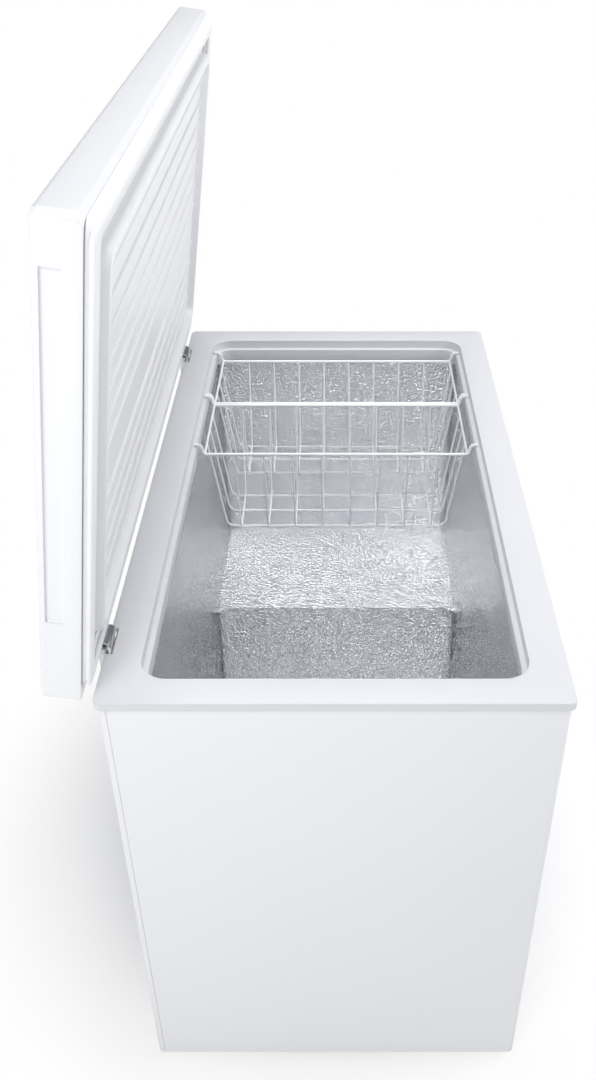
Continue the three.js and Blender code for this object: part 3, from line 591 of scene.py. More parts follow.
# %% Wires
def wire(name, points, radius, bend=0, resolution=3):
    """Round wire through points, with its corners bent to a radius."""
    piece = begin(name)
    bpy.ops.mesh.primitive_plane_add(size=1, location=(0, 0, 0))
    bpy.ops.mesh.merge(type="CENTER")
    bpy.ops.transform.translate(value=points[0])
    for here, there in zip(points, points[1:]):
        bpy.ops.mesh.extrude_region_move(TRANSFORM_OT_translate={"value": Vector(there) - Vector(here)})
    if bend:
        pick_points(lambda point: len(point.link_edges) == 2)
        bpy.ops.mesh.bevel(affect="VERTICES", offset=bend, segments=6, profile=0.5)
    bpy.ops.object.mode_set(mode="OBJECT")
    bpy.ops.object.convert(target="CURVE")
    curve = bpy.context.object
    curve.data.bevel_depth = radius
    curve.data.bevel_resolution = resolution
    curve.data.use_fill_caps = True
    bpy.ops.object.convert(target="MESH")
    piece = bpy.context.object
    piece.name = name
    piece.data.name = name
    bpy.ops.object.mode_set(mode="EDIT")
    bpy.ops.mesh.select_all(action="SELECT")
    return done(piece)


# %% The open lid and the collar's rings
def turned(piece):
    """Swings a piece that was drawn with the lid shut up to the open lid's place."""
    swing = Matrix.Translation(AXIS) @ Matrix.Rotation(-OPEN, 4, "X") @ Matrix.Translation(-AXIS)
    piece.data.transform(swing)
    return piece


def ring_x(inset):
    """Left and right of the collar, stepped in; inside the walls, the ends are a little thinner."""
    wide = REACH_X - inset + (THINNER if inset > 24 * MM else 0)
    return (-wide, wide)


def ring_y(inset):
    """Front and back of the collar, stepped in."""
    return (MID - REACH_Y + inset, MID + REACH_Y - inset)


# %% [markdown]
# ## Cabinet sheets
# The front and both ends are one sheet folded round two corners; the back is a second sheet that
# turns the rear corners and is screwed over it. Each starts as the same rounded box without a top or
# bottom, loses the part that the other sheet covers, and is given its thickness inwards.

# %% Folded sheets
SHEET = 1 * MM
wrap_low, wrap_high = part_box("cabinet_wrap")
back_low, back_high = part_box("back_panel")


def folded_sheet(name, keep):
    sides_x = (wrap_low.x, wrap_high.x)
    sides_y = (wrap_low.y, back_high.y)
    levels = [(sides_x, sides_y, z, 8 * MM) for z in (wrap_low.z, wrap_high.z)]
    piece = stack(name, levels, caps=(False, False))
    bpy.ops.object.mode_set(mode="EDIT")
    seam = wrap_high.y if keep == "front" else back_low.y
    bpy.ops.mesh.select_all(action="SELECT")
    bpy.ops.mesh.bisect(plane_co=(0, seam, 0), plane_no=(0, 1, 0), clear_outer=keep == "front",
                        clear_inner=keep == "back")
    done(piece, faces_out=False)
    return modify(piece, "SOLIDIFY", thickness=SHEET, offset=-1)


# %% Wrapper and its openings
grille_low, grille_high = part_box("side_grille")
panel_low, panel_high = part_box("control_panel")
socket_low, socket_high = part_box("drain_socket")
wrap = folded_sheet("cabinet_wrap_sheet", "front")
EDGE = 12 * MM
cut(wrap, bar("opening", (wrap_high.x - 0.005, grille_low.y + EDGE, grille_low.z + EDGE),
              (wrap_high.x + 0.005, grille_high.y - EDGE, grille_high.z - EDGE)))
cut(wrap, bar("opening", (panel_low.x + 8 * MM, wrap_low.y - 0.005, panel_low.z + 8 * MM),
              (panel_high.x - 8 * MM, wrap_low.y + 0.005, panel_high.z - 8 * MM)))
DRAIN_X = (socket_low.x + socket_high.x) / 2
DRAIN_Z = (socket_low.z + socket_high.z) / 2
cut(wrap, rod("opening", 11 * MM, (DRAIN_X, wrap_low.y - 0.005, DRAIN_Z), 0.01, "y"))
soften(wrap, 0.25 * MM, 2)
settle(wrap, PAINT, "cabinet", "cabinet_wrap", slot="painted_steel")
print("wrap faces", len(wrap.data.polygons))

# %% [markdown]
# ## Back sheet
# Thin sheet this wide would drum, so two long shallow grooves are pressed into it. Each is cut with a
# long block whose ends are round and whose edges are soft, which leaves the groove with both.

# %% Back sheet with pressed grooves
back = folded_sheet("back_panel_sheet", "back")
PRESSED_HALF, PRESSED_DEEP, PRESSED_WIDE = 0.40, 0.75 * MM, 22 * MM
for height in (0.22, 0.46):
    low = (-PRESSED_HALF, back_high.y - PRESSED_DEEP, height - PRESSED_WIDE / 2)
    high = (PRESSED_HALF, back_high.y + 0.01, height + PRESSED_WIDE / 2)
    groove = rounded_bar("groove", low, high, "y", 10.5 * MM, 10)
    cut(back, soften(groove, 0.6 * MM, 3))
print("back faces", len(back.data.polygons))
gland_low, gland_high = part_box("cord_gland")
GLAND = ((gland_low.x + gland_high.x) / 2, back_high.y, (gland_low.z + gland_high.z) / 2)
cut(back, rod("opening", 11 * MM, (GLAND[0], back_high.y - 0.006, GLAND[2]), 0.012, "y"))
soften(back, 0.25 * MM, 2)
settle(back, PAINT, "cabinet", "back_panel", slot="painted_steel")

# %% [markdown]
# ## Collar
# A plastic ring caps the walls. Its profile goes up the outside, over the flat rim, down a step to the
# narrow ledge that the baskets hang on, and down again over the liner's edge. Bridging the profile's
# corners as rounded rectangles gives the ring, and a small bevel gives each fold its soft edge.

# %% Collar
def collar_ring(inset, drop, radius):
    return (ring_x(inset), ring_y(inset), COLLAR_TOP - drop, radius)


FLAT, LEDGE, STEP, SKIRT = 47 * MM, 7 * MM, 16 * MM, 38 * MM
WALL = FLAT + LEDGE
collar_levels = [
    collar_ring(0, 12 * MM, 9 * MM),
    collar_ring(0, 0, 9 * MM),
    collar_ring(FLAT, 0, 34 * MM),
    collar_ring(FLAT, STEP, 34 * MM),
    collar_ring(WALL, STEP, 28 * MM),
    collar_ring(WALL, SKIRT, 28 * MM),
    collar_ring(WALL - 2.5 * MM, SKIRT, 29 * MM),
    collar_ring(WALL - 2.5 * MM, STEP + 3 * MM, 29 * MM),
    collar_ring(FLAT - 2.5 * MM, STEP + 3 * MM, 34 * MM),
    collar_ring(FLAT - 2.5 * MM, 3 * MM, 34 * MM),
    collar_ring(3 * MM, 3 * MM, 6.5 * MM),
    collar_ring(3 * MM, 12 * MM, 6.5 * MM),
]
collar = stack("top_collar_ring", collar_levels, closed=True, segments=14)
soften(collar, 1.4 * MM, 4)
HINGES = {}
for side in ("left", "right"):
    low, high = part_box(f"hinge_{side}_arm")
    HINGES[side] = (low.x + high.x) / 2
for middle in HINGES.values():
    cut(collar, bar("pocket", (middle - 0.0245, MID + REACH_Y - 0.0095, COLLAR_TOP - 0.014),
                    (middle + 0.0245, MID + REACH_Y + 0.001, COLLAR_TOP + 0.001)))
settle(collar, COLLAR_PLASTIC, "cabinet", "top_collar", slot="white_plastic")
print("collar", [round(v, 4) for v in collar.dimensions])

# %% [markdown]
# ## Liner
# The well is one deep box and one shallow box over the machine bay, joined. Working on the space
# inside is easier than on the sheet round it: join two rounded blocks, take off the lid of the result,
# round its creases as the press would, and only then give it the thickness of the sheet, outwards.

# %% Liner
liner_low, liner_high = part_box("inner_liner")
SKIN = 1.2 * MM
well_x = (liner_low.x + SKIN, liner_high.x - SKIN)
well_y = (liner_low.y + SKIN, liner_high.y - SKIN)
FLOOR = liner_low.z + SKIN
STEP_X, STEP_TOP = 0.1965, 0.339
CORNER = 20 * MM
heights = (STEP_TOP, liner_high.z)
well = stack("inner_liner_sheet", [(well_x, well_y, z, CORNER) for z in heights])
deep_x = (well_x[0], STEP_X)
deep = stack("deep", [(deep_x, well_y, z, CORNER) for z in (FLOOR, STEP_TOP + 0.05)])
cut(well, deep, "UNION")
bpy.ops.object.mode_set(mode="EDIT")
pick_faces(lambda centre, normal: centre.z > liner_high.z - 0.0005 and abs(normal.z) > 0.9)
bpy.ops.mesh.delete(type="FACE")
bpy.ops.mesh.select_all(action="SELECT")
bpy.ops.mesh.remove_doubles(threshold=0.00005)
bpy.ops.mesh.dissolve_limited(angle_limit=math.radians(1))
done(well, faces_out=False)
soften(well, 7 * MM, 5, 50)
modify(well, "SOLIDIFY", thickness=SKIN, offset=1)
drain_low, drain_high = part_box("drain_plug")
PLUG = ((drain_low.x + drain_high.x) / 2, (drain_low.y + drain_high.y) / 2, FLOOR)
cut(well, rod("drain_hole", 9 * MM, (PLUG[0], PLUG[1], FLOOR - 0.006), 0.012))
bpy.ops.object.mode_set(mode="EDIT")
done(well)

# %% Liner finish
well.data.materials.append(STUCCO)
well.data.materials.append(SOFT_STUCCO)
for face in well.data.polygons:
    face.material_index = 1 if abs(face.normal.y) > 0.75 else 0
settle(well, STUCCO, "cabinet", "inner_liner", slot="embossed_aluminium")
print("liner", [round(v, 4) for v in well.dimensions], len(well.data.polygons), "faces")

# %% [markdown]
# ## Lid shell
# The lid is a shallow steel pan, drawn here shut and face up. Its front lower edge is cut back at a
# slant so that fingers find it, and a long finger groove is pressed into each end. The pan is a stack
# of rounded rectangles. Pushing the end face in would break through the thin wall, so a bar is first
# joined on behind it, and the groove is then cut into both with a softened block.

# %% Lid shell
LID_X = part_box("lid_shell")[1].x
LID_BACK = AXIS.y + 1.3 * MM
LID_DEPTH = 577 * MM
LID_TOP = AXIS.z + 55.7 * MM
UNDER = LID_TOP - 46.5 * MM
BEND = LID_TOP - 41 * MM


def lid_ring(inset, z, radius, front=0, rear=0):
    wide = LID_X - inset
    return ((-wide, wide), (LID_BACK - LID_DEPTH + inset + front, LID_BACK - inset - rear), z, radius)


shell_levels = [
    lid_ring(1.2 * MM, LID_TOP - 1.2 * MM, 7.8 * MM),
    lid_ring(1.2 * MM, BEND, 7.8 * MM),
    lid_ring(1.2 * MM, UNDER + 1.5 * MM, 7.8 * MM, 4 * MM),
    lid_ring(12 * MM, UNDER + 1.5 * MM, 9 * MM),
    lid_ring(12 * MM, UNDER, 9 * MM),
    lid_ring(0, UNDER, 9 * MM, 5.5 * MM),
    lid_ring(0, BEND, 9 * MM),
    lid_ring(0, LID_TOP, 9 * MM),
]
lid_shell = stack("lid_shell_pan", shell_levels, segments=12)
bpy.ops.object.mode_set(mode="EDIT")
pick_faces(lambda centre, normal: centre.z > LID_TOP - 0.1 * MM)
bpy.ops.mesh.region_to_loop()
bpy.ops.mesh.bevel(affect="EDGES", offset=6 * MM, segments=6)
done(lid_shell)

# %% Finger grooves
GROOVE_FROM, GROOVE_TO, GROOVE_TOP, GROOVE_WIDE = (v * MM for v in (117, 526, 7.5, 21.5))
groove_y = (LID_BACK - GROOVE_TO, LID_BACK - GROOVE_FROM)
groove_z = (LID_TOP - GROOVE_TOP - GROOVE_WIDE, LID_TOP - GROOVE_TOP)
for side in (-1, 1):
    ends = sorted((side * (LID_X - 3.5 * MM), side * (LID_X + 4 * MM)))
    backs = sorted((side * (LID_X - 0.5 * MM), side * (LID_X - 4.7 * MM)))
    backing = bar("backing", (backs[0], groove_y[0] - SHEET, groove_z[0] - SHEET),
                  (backs[1], groove_y[1] + SHEET, groove_z[1] + SHEET))
    cut(lid_shell, backing, "UNION")
    groove = bar("groove", (ends[0], groove_y[0], groove_z[0]), (ends[1], groove_y[1], groove_z[1]))
    soften(groove, 2.2 * MM, 4)
    cut(lid_shell, groove)
soften(lid_shell, 0.5 * MM, 2, 40)
lid_shell = turned(lid_shell)
settle(lid_shell, PAINT, "lid", "lid_shell", slot="painted_steel")
print("lid shell", [round(v, 4) for v in lid_shell.dimensions])

# %% [markdown]
# ## Lid panel
# The inside of the lid is a vacuum-formed sheet. It starts flat under the seal, drops into a shallow
# plug that keys into the collar, and rises again to a recess with long stiffening ribs. One rib is
# drawn as a half-round bar with soft ends and copied along the row; one place in the row is left flat.

# %% Lid panel
PLUG_IN, RIM, PLUG_DEEP, RECESS, SLOPE = (v * MM for v in (54, 10, 15.5, 12, 5))
PLUG_BOTTOM = UNDER - PLUG_DEEP
panel_levels = [
    lid_ring(PLUG_IN + RIM + SLOPE, PLUG_BOTTOM + RECESS, 18 * MM),
    lid_ring(PLUG_IN + RIM, PLUG_BOTTOM, 22 * MM),
    lid_ring(PLUG_IN, PLUG_BOTTOM, 28 * MM),
    lid_ring(PLUG_IN - 4 * MM, UNDER, 30 * MM),
    lid_ring(12.3 * MM, UNDER, 12 * MM),
    lid_ring(12.3 * MM, UNDER + 1.5 * MM, 12 * MM),
    lid_ring(PLUG_IN - 2 * MM, UNDER + 1.5 * MM, 30 * MM),
    lid_ring(PLUG_IN + 2 * MM, PLUG_BOTTOM + 2 * MM, 28 * MM),
    lid_ring(PLUG_IN + RIM - 2 * MM, PLUG_BOTTOM + 2 * MM, 22 * MM),
    lid_ring(PLUG_IN + RIM + SLOPE - 2 * MM, PLUG_BOTTOM + RECESS + 2 * MM, 18 * MM),
]
lid_panel = stack("lid_inner_panel", panel_levels, segments=12)
soften(lid_panel, 1.6 * MM, 4, 25)

# %% Ribs
rib_half = LID_X - PLUG_IN - RIM - SLOPE - 6 * MM
rib = rod("rib", 3.5 * MM, (-rib_half, LID_BACK - 0.07, PLUG_BOTTOM + RECESS + 0.0003), 2 * rib_half, "x", 20)
modify(rib, "BEVEL", width=3 * MM, segments=4, limit_method="ANGLE", angle_limit=math.radians(60))
bpy.ops.object.mode_set(mode="EDIT")
bpy.ops.mesh.select_all(action="SELECT")
bpy.ops.mesh.bisect(plane_co=(0, 0, PLUG_BOTTOM + RECESS + 0.0006), plane_no=(0, 0, 1),
                    clear_outer=True, use_fill=True)
done(rib)
ribs = [copied(rib, "rib", (0, -place * 34.5 * MM, 0)) for place in range(13) if place not in (0, 5)]
lid_panel = joined([lid_panel, rib] + ribs, "lid_inner_panel")
lid_panel = turned(lid_panel)
settle(lid_panel, PANEL_PLASTIC, "lid", "lid_liner", angle=40, slot="lid_panel_plastic")
print("ribs", 1 + len(ribs))

# %% [markdown]
# ## Seal
# The seal is a hollow vinyl bellows with a magnet strip in its foot: a narrow waist between two lips.
# Its outer side carries on the slant of the lid's front edge, and it steps in at the back to clear the
# hinges.

# %% Seal
FOOT = COLLAR_TOP + 0.3 * MM
SEAL_TOP = UNDER - 0.3 * MM
SEAL_IN, SEAL_WIDE, CLEAR = 4.5 * MM, 28 * MM, 13 * MM
tall = SEAL_TOP - FOOT


def seal_ring(inset, share, radius, front=0, rear=CLEAR):
    return lid_ring(inset, FOOT + share * tall, radius, front, rear)


outer = [
    seal_ring(SEAL_IN + 1.5 * MM, 1, 14 * MM, 0.5 * MM),
    seal_ring(SEAL_IN, 0.86, 14 * MM, 2 * MM),
    seal_ring(SEAL_IN + 0.2 * MM, 0.74, 14 * MM, 3 * MM),
    seal_ring(SEAL_IN + 2.2 * MM, 0.6, 14 * MM, 3.5 * MM),
    seal_ring(SEAL_IN + 2.2 * MM, 0.46, 14 * MM, 5 * MM),
    seal_ring(SEAL_IN + 0.2 * MM, 0.32, 14 * MM, 7.5 * MM),
    seal_ring(SEAL_IN, 0.14, 14 * MM, 8 * MM),
    seal_ring(SEAL_IN + 1.5 * MM, 0, 14 * MM, 8 * MM),
]
far = SEAL_IN + SEAL_WIDE
inner = [
    seal_ring(far - 1.5 * MM, 0, 10 * MM, 0, 0),
    seal_ring(far, 0.14, 10 * MM, 0, 0),
    seal_ring(far - 0.2 * MM, 0.32, 10 * MM, 0, 0),
    seal_ring(far - 2.2 * MM, 0.5, 10 * MM, 0, 0),
    seal_ring(far - 0.2 * MM, 0.7, 10 * MM, 0, 0),
    seal_ring(far, 0.86, 10 * MM, 0, 0),
    seal_ring(far - 1.5 * MM, 1, 10 * MM, 0, 0),
]
seal = stack("lid_seal", outer + inner, closed=True, segments=10)
seal = turned(seal)
settle(seal, VINYL, "lid", "lid_gasket", angle=60, slot="gasket_vinyl")
print("seal", [round(v, 4) for v in seal.dimensions])

# %% [markdown]
# ## Baskets
# Each basket hangs by two stout bars that step up and out onto the collar's ledge. Eight thin hoops
# hang from the bars, three long wires lie on the hoops, and a short rod joins the bars at each end.
# A wire is a path of edges with its corners rounded, made round by giving it the wire's thickness.

# %% Baskets
BAR_Z, LOW_Z = 0.745, 0.574
HALF, LOW_HALF, END, LOW_END, HOOK_END = (v * MM for v in (86, 51.5, 218, 192.5, 234.5))
HOOK_Z = COLLAR_TOP - STEP + 3 * MM


def basket(name, node):
    low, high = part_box(node)
    centre = (low.x + high.x) / 2

    def at(x, y, z):
        return (centre + x, MID + y, z)

    wires = []
    for x in (-HALF, HALF):
        hook = [at(x, -HOOK_END, HOOK_Z), at(x, -END - 5 * MM, HOOK_Z), at(x, -END - 2 * MM, BAR_Z),
                at(x, END + 2 * MM, BAR_Z), at(x, END + 5 * MM, HOOK_Z), at(x, HOOK_END, HOOK_Z)]
        wires.append(wire("bar", hook, 2.7 * MM, 6 * MM, resolution=5))
    for y in (-END, END):
        wires.append(wire("rod", [at(-HALF, y, BAR_Z), at(HALF, y, BAR_Z)], 2 * MM, resolution=4))
    for place in range(8):
        y = (place - 3.5) * 48.2 * MM
        hoop = [at(-HALF, y, BAR_Z), at(-LOW_HALF, y, LOW_Z), at(LOW_HALF, y, LOW_Z), at(HALF, y, BAR_Z)]
        wires.append(wire("hoop", hoop, 1.6 * MM, 12 * MM))
    for x in (-49 * MM, 0, 49 * MM):
        run = [at(x, -END, BAR_Z), at(x, -LOW_END, LOW_Z + 2.7 * MM), at(x, LOW_END, LOW_Z + 2.7 * MM),
               at(x, END, BAR_Z)]
        wires.append(wire("run", run, 1.6 * MM, 12 * MM))
    made = joined(wires, name)
    return settle(made, WIRE_COAT, node, node, angle=50, slot="coated_wire")


for node in ("basket_middle", "basket_right"):
    made = basket(node + "_wires", node)
    print(node, len(made.data.polygons), "faces")

# %% [markdown]
# ## Hinges
# Each hinge has a plate screwed to the cabinet's back with two cheeks that carry a pin, and a sheet on
# the lid that is rolled over the pin as a hood. The hood is a path in the plane square to the pin: a
# straight run down the lid's edge, then a spin about the pin. It is drawn out to its width and then
# thickened. A coil on the pin takes some of the lid's weight.

# %% Hinge hood
HOOD, HOOD_SHEET, HOOD_WIDE = 10.2 * MM, 1.6 * MM, 37 * MM


def hood(name, x):
    """The moving leaf, drawn with the lid shut."""
    piece = begin(name)
    left = x - HOOD_WIDE / 2
    bpy.ops.mesh.primitive_plane_add(size=1, location=(0, 0, 0))
    bpy.ops.mesh.merge(type="CENTER")
    bpy.ops.transform.translate(value=(left, AXIS.y + 2.4 * MM, AXIS.z + 46 * MM))
    for move in ((0, 0, -33.6 * MM), (0, -2.4 * MM, -2.2 * MM)):
        bpy.ops.mesh.extrude_region_move(TRANSFORM_OT_translate={"value": move})
    bpy.ops.mesh.spin(steps=18, angle=math.radians(160), center=(left, AXIS.y, AXIS.z), axis=(-1, 0, 0))
    bpy.ops.mesh.select_all(action="SELECT")
    bpy.ops.mesh.remove_doubles(threshold=0.00001)
    pick_points(lambda point: len(point.link_edges) == 2 and point.co.z > AXIS.z + HOOD)
    bpy.ops.mesh.bevel(affect="VERTICES", offset=1.8 * MM, segments=4, profile=0.5)
    bpy.ops.mesh.select_all(action="SELECT")
    bpy.ops.mesh.extrude_region_move(TRANSFORM_OT_translate={"value": (HOOD_WIDE, 0, 0)})
    done(piece)
    modify(piece, "SOLIDIFY", thickness=HOOD_SHEET, offset=0)
    return soften(piece, 0.3 * MM, 3)


# %% Hinge plate
hinge_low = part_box("hinge_left_base")[0]
LEAF_HALF, LEAF_TALL, LEAF_SHEET = 30 * MM, 92 * MM, 2 * MM


def hinge_plate(name, x):
    """The fixed leaf, with a cheek at each end of the pin."""
    back = hinge_low.y
    piece = rounded_bar(name, (x - LEAF_HALF, back, hinge_low.z),
                        (x + LEAF_HALF, back + LEAF_SHEET, hinge_low.z + LEAF_TALL), "y", 5 * MM)
    for side in (-1, 1):
        edge = x + side * (HOOD_WIDE / 2 + 1.6 * MM) - 1 * MM
        web = bar("web", (edge, back, AXIS.z - 73 * MM), (edge + 2 * MM, AXIS.y + 6 * MM, AXIS.z))
        ear = rod("ear", 6 * MM, (edge, AXIS.y, AXIS.z), 2 * MM, "x")
        cut(web, ear, "UNION")
        below = bar("below", (edge - MM, back + 2 * MM, AXIS.z - 90 * MM),
                    (edge + 3 * MM, back + 30 * MM, AXIS.z - 60 * MM))
        cut(piece, cut(web, below), "UNION")
    return soften(piece, 0.35 * MM, 3)


# %% Hinge pin and coil
def hinge_pin(name, x):
    half = HOOD_WIDE / 2 + 2.6 * MM
    pin = rod(name, 3 * MM, (x - half, AXIS.y, AXIS.z), 2 * half, "x", 32)
    heads = []
    for side in (-1, 1):
        heads.append(rod("head", 4.4 * MM, (x + side * half, AXIS.y, AXIS.z), side * 1.8 * MM, "x", 32))
    return soften(joined([pin] + heads, name), 0.4 * MM, 3)


def hinge_coil(name, x):
    """A ring of wire section swept five times round the pin."""
    nothing_selected()
    bpy.ops.mesh.primitive_circle_add(vertices=12, radius=1 * MM, location=(0, 0, 0),
                                      rotation=(math.pi / 2, 0, 0))
    coil = bpy.context.object
    coil.name = name
    bpy.ops.object.transform_apply(location=True, rotation=True, scale=True)
    bpy.ops.object.mode_set(mode="EDIT")
    bpy.ops.mesh.select_all(action="SELECT")
    bpy.ops.transform.translate(value=(0, 0, 5.4 * MM))
    bpy.ops.object.mode_set(mode="OBJECT")
    modify(coil, "SCREW", axis="X", screw_offset=4 * MM, iterations=5, steps=24, render_steps=24)
    bpy.ops.object.mode_set(mode="EDIT")
    bpy.ops.mesh.select_all(action="SELECT")
    bpy.ops.mesh.fill_holes(sides=0)
    done(coil)
    coil.data.transform(Matrix.Translation((x - 10 * MM, AXIS.y, AXIS.z)))
    return coil


# %% [markdown]
# ## Screws
# A screw lies along +Y: half a flattened ball for the head, a cross cut into it, and a plain shank. Two
# lengths are modelled, and every screw on the freezer is a copy of one of them.

# %% Screws
def cross_screw(name, radius, rise, length):
    nothing_selected()
    bpy.ops.mesh.primitive_uv_sphere_add(segments=32, ring_count=24, radius=radius, location=(0, 0, 0))
    head = bpy.context.object
    head.name = name
    head.scale = (1, rise / radius, 1)
    bpy.ops.object.transform_apply(location=True, rotation=True, scale=True)
    bpy.ops.object.mode_set(mode="EDIT")
    bpy.ops.mesh.select_all(action="SELECT")
    bpy.ops.mesh.bisect(plane_co=(0, 0, 0), plane_no=(0, 1, 0), clear_inner=True, use_fill=True)
    done(head)
    for wide, tall in ((0.62, 0.15), (0.15, 0.62)):
        slot = bar("slot", (-wide * radius, rise * 0.4, -tall * radius),
                   (wide * radius, rise * 2, tall * radius))
        cut(head, slot)
    soften(head, 0.12 * MM, 2, 40)
    shank = rod("shank", radius * 0.38, (0, rise * 0.1, 0), -length, "y", 16)
    return joined([head, shank], name)


# %% Both hinges with their screws
screw = cross_screw("screw", 4 * MM, 2.1 * MM, 3 * MM)
long_screw = cross_screw("long_screw", 4 * MM, 2.1 * MM, 14 * MM)
for side, x in HINGES.items():
    leaf = turned(hood(f"hinge_{side}_hood", x))
    settle(leaf, BRIGHT_STEEL, "lid", f"hinge_{side}_arm", slot="hinge_steel")
    fixed = hinge_plate(f"hinge_{side}_plate", x)
    settle(fixed, BRIGHT_STEEL, "cabinet", f"hinge_{side}_base", slot="hinge_steel")
    settle(hinge_pin(f"hinge_{side}_axle", x), ZINC, "cabinet", f"hinge_{side}_pin", slot="zinc_steel")
    settle(hinge_coil(f"hinge_{side}_coil", x), ZINC, "cabinet", f"hinge_{side}_spring", slot="zinc_steel")
    for letter, height in (("a", 22 * MM), ("b", 38 * MM)):
        place = (x, AXIS.y + 3.3 * MM, AXIS.z + height)
        fixing = turned(copied(long_screw, f"lid_screw_{side}_{letter}", place))
        settle(fixing, SCREW_STEEL, "lid", f"hinge_{side}_arm_screw_{letter}", slot="zinc_steel")
    for letter, across in (("a", -22 * MM), ("b", 22 * MM)):
        low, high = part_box(f"hinge_{side}_screw_{letter}")
        place = (x + across, hinge_low.y + 2.1 * MM, (low.z + high.z) / 2)
        fixing = copied(screw, f"cabinet_screw_{side}_{letter}", place)
        settle(fixing, SCREW_STEEL, "cabinet", f"hinge_{side}_screw_{letter}", slot="zinc_steel")
bpy.data.objects.remove(screw)
bpy.data.objects.remove(long_screw)
print("hinges at", [round(x, 4) for x in HINGES.values()])

# %% [markdown]
# ## Louvred cover
# Air reaches the machine bay through two columns of louvres in the right-hand end. The cover is a plate
# with rounded corners and two openings; one tilted slat is drawn and copied up each opening.

# %% Louvred cover
cover_high = (grille_high.x - 0.2 * MM, grille_high.y, grille_high.z)
cover = rounded_bar("side_grille_cover", grille_low, cover_high, "x", 6 * MM)
columns = ((grille_low.y + 18 * MM, MID - 5 * MM), (MID + 5 * MM, grille_high.y - 18 * MM))
for low_y, high_y in columns:
    opening = rounded_bar("opening", (grille_low.x - 5 * MM, low_y, grille_low.z + 16 * MM),
                          (grille_high.x + 5 * MM, high_y, grille_high.z - 16 * MM), "x", 4 * MM)
    cut(cover, opening)
soften(cover, 0.5 * MM, 3)

# %% Slats
low_y, high_y = columns[0]
slat = rounded_bar("slat", (-0.7 * MM, low_y - MM, -5.5 * MM), (0.7 * MM, high_y + MM, 5.5 * MM), "y",
                   0.55 * MM, 3)
only(slat)
bpy.ops.object.mode_set(mode="EDIT")
bpy.ops.mesh.select_all(action="SELECT")
bpy.ops.transform.rotate(value=math.radians(-14), orient_axis="Y", center_override=(0, 0, 0))
bpy.ops.transform.translate(value=((grille_low.x + grille_high.x) / 2, 0, grille_low.z + 20 * MM))
done(slat)
shift = columns[1][0] - columns[0][0]
rows = int((grille_high.z - grille_low.z - 40 * MM) / (12 * MM)) + 1
slats = [copied(slat, "slat", (0, across * shift, row * 12 * MM)) for row in range(rows) for across in (0, 1)]
bpy.data.objects.remove(slat)
cover = joined([cover] + slats, "side_grille_cover")
settle(cover, GREY, "cabinet", "side_grille", slot="grey_plastic")
print("louvres", len(slats))

# %% [markdown]
# ## Controls
# A small panel low on the front holds the thermostat's dial and a green lamp. The dial's cap has a
# finger grip with a pointer line, and round it the panel carries a printed arc of ticks and numbers.

# %% Control panel
plate = rounded_bar("control_panel_plate", panel_low, panel_high, "y", 8 * MM)
soften(plate, 0.8 * MM, 4)
knob_low, knob_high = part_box("thermostat_knob")
DIAL = Vector(((knob_low.x + knob_high.x) / 2, panel_low.y, (knob_low.z + knob_high.z) / 2))
cut(plate, rod("spindle_hole", 5 * MM, (DIAL.x, DIAL.y - 3 * MM, DIAL.z), 9 * MM, "y"))
lens_low, lens_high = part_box("indicator_lens")
LAMP = Vector(((lens_low.x + lens_high.x) / 2, panel_low.y, (lens_low.z + lens_high.z) / 2))
cut(plate, rod("lamp_hole", 4.3 * MM, (LAMP.x, LAMP.y - 3 * MM, LAMP.z), 9 * MM, "y"))
settle(plate, GREY, "cabinet", "control_panel", slot="grey_plastic")

# %% Ticks and numbers
INK_OUT = 0.12 * MM


def around_dial(angle, radius):
    """A place on the panel, at a clock angle from straight up."""
    return (DIAL.x + radius * math.sin(angle), panel_low.y - INK_OUT, DIAL.z + radius * math.cos(angle))


def printed(name, words, place, height):
    nothing_selected()
    bpy.ops.object.text_add(location=place, rotation=(math.pi / 2, 0, 0))
    mark = bpy.context.object
    mark.data.body = words
    mark.data.size = height
    mark.data.align_x = "CENTER"
    mark.data.align_y = "CENTER"
    mark.data.extrude = INK_OUT
    bpy.ops.object.convert(target="MESH")
    mark = bpy.context.object
    bpy.ops.object.transform_apply(location=True, rotation=True, scale=True)
    mark.name = name
    return mark


# %% The printed arc
marks = []
SWEEP = math.radians(270)
for step in range(13):
    angle = (step / 12 - 0.5) * SWEEP
    long = step % 2 == 0
    tick = bar("tick", (DIAL.x - 0.3 * MM, panel_low.y - INK_OUT, DIAL.z + 20 * MM),
               (DIAL.x + 0.3 * MM, panel_low.y + INK_OUT, DIAL.z + (23 if long else 21.6) * MM))
    only(tick)
    bpy.ops.object.mode_set(mode="EDIT")
    bpy.ops.mesh.select_all(action="SELECT")
    bpy.ops.transform.rotate(value=-angle, orient_axis="Y", center_override=DIAL)
    marks.append(done(tick))
    if long:
        marks.append(printed("number", str(step // 2 + 1), around_dial(angle, 26 * MM), 4.2 * MM))
marks = [mark for mark in marks if mark.data.vertices]
print_layer = joined(marks, "control_panel_print")
settle(print_layer, INK, "cabinet")
print("printed marks", [round(v, 4) for v in print_layer.dimensions])

# %% [markdown]
# ## Dial
# The dial's cap is a low cylinder whose face is inset and stepped, with a rounded bar joined across it
# as the grip. A thin dark bar lies in the grip as the pointer, and a stem runs back to the switch.

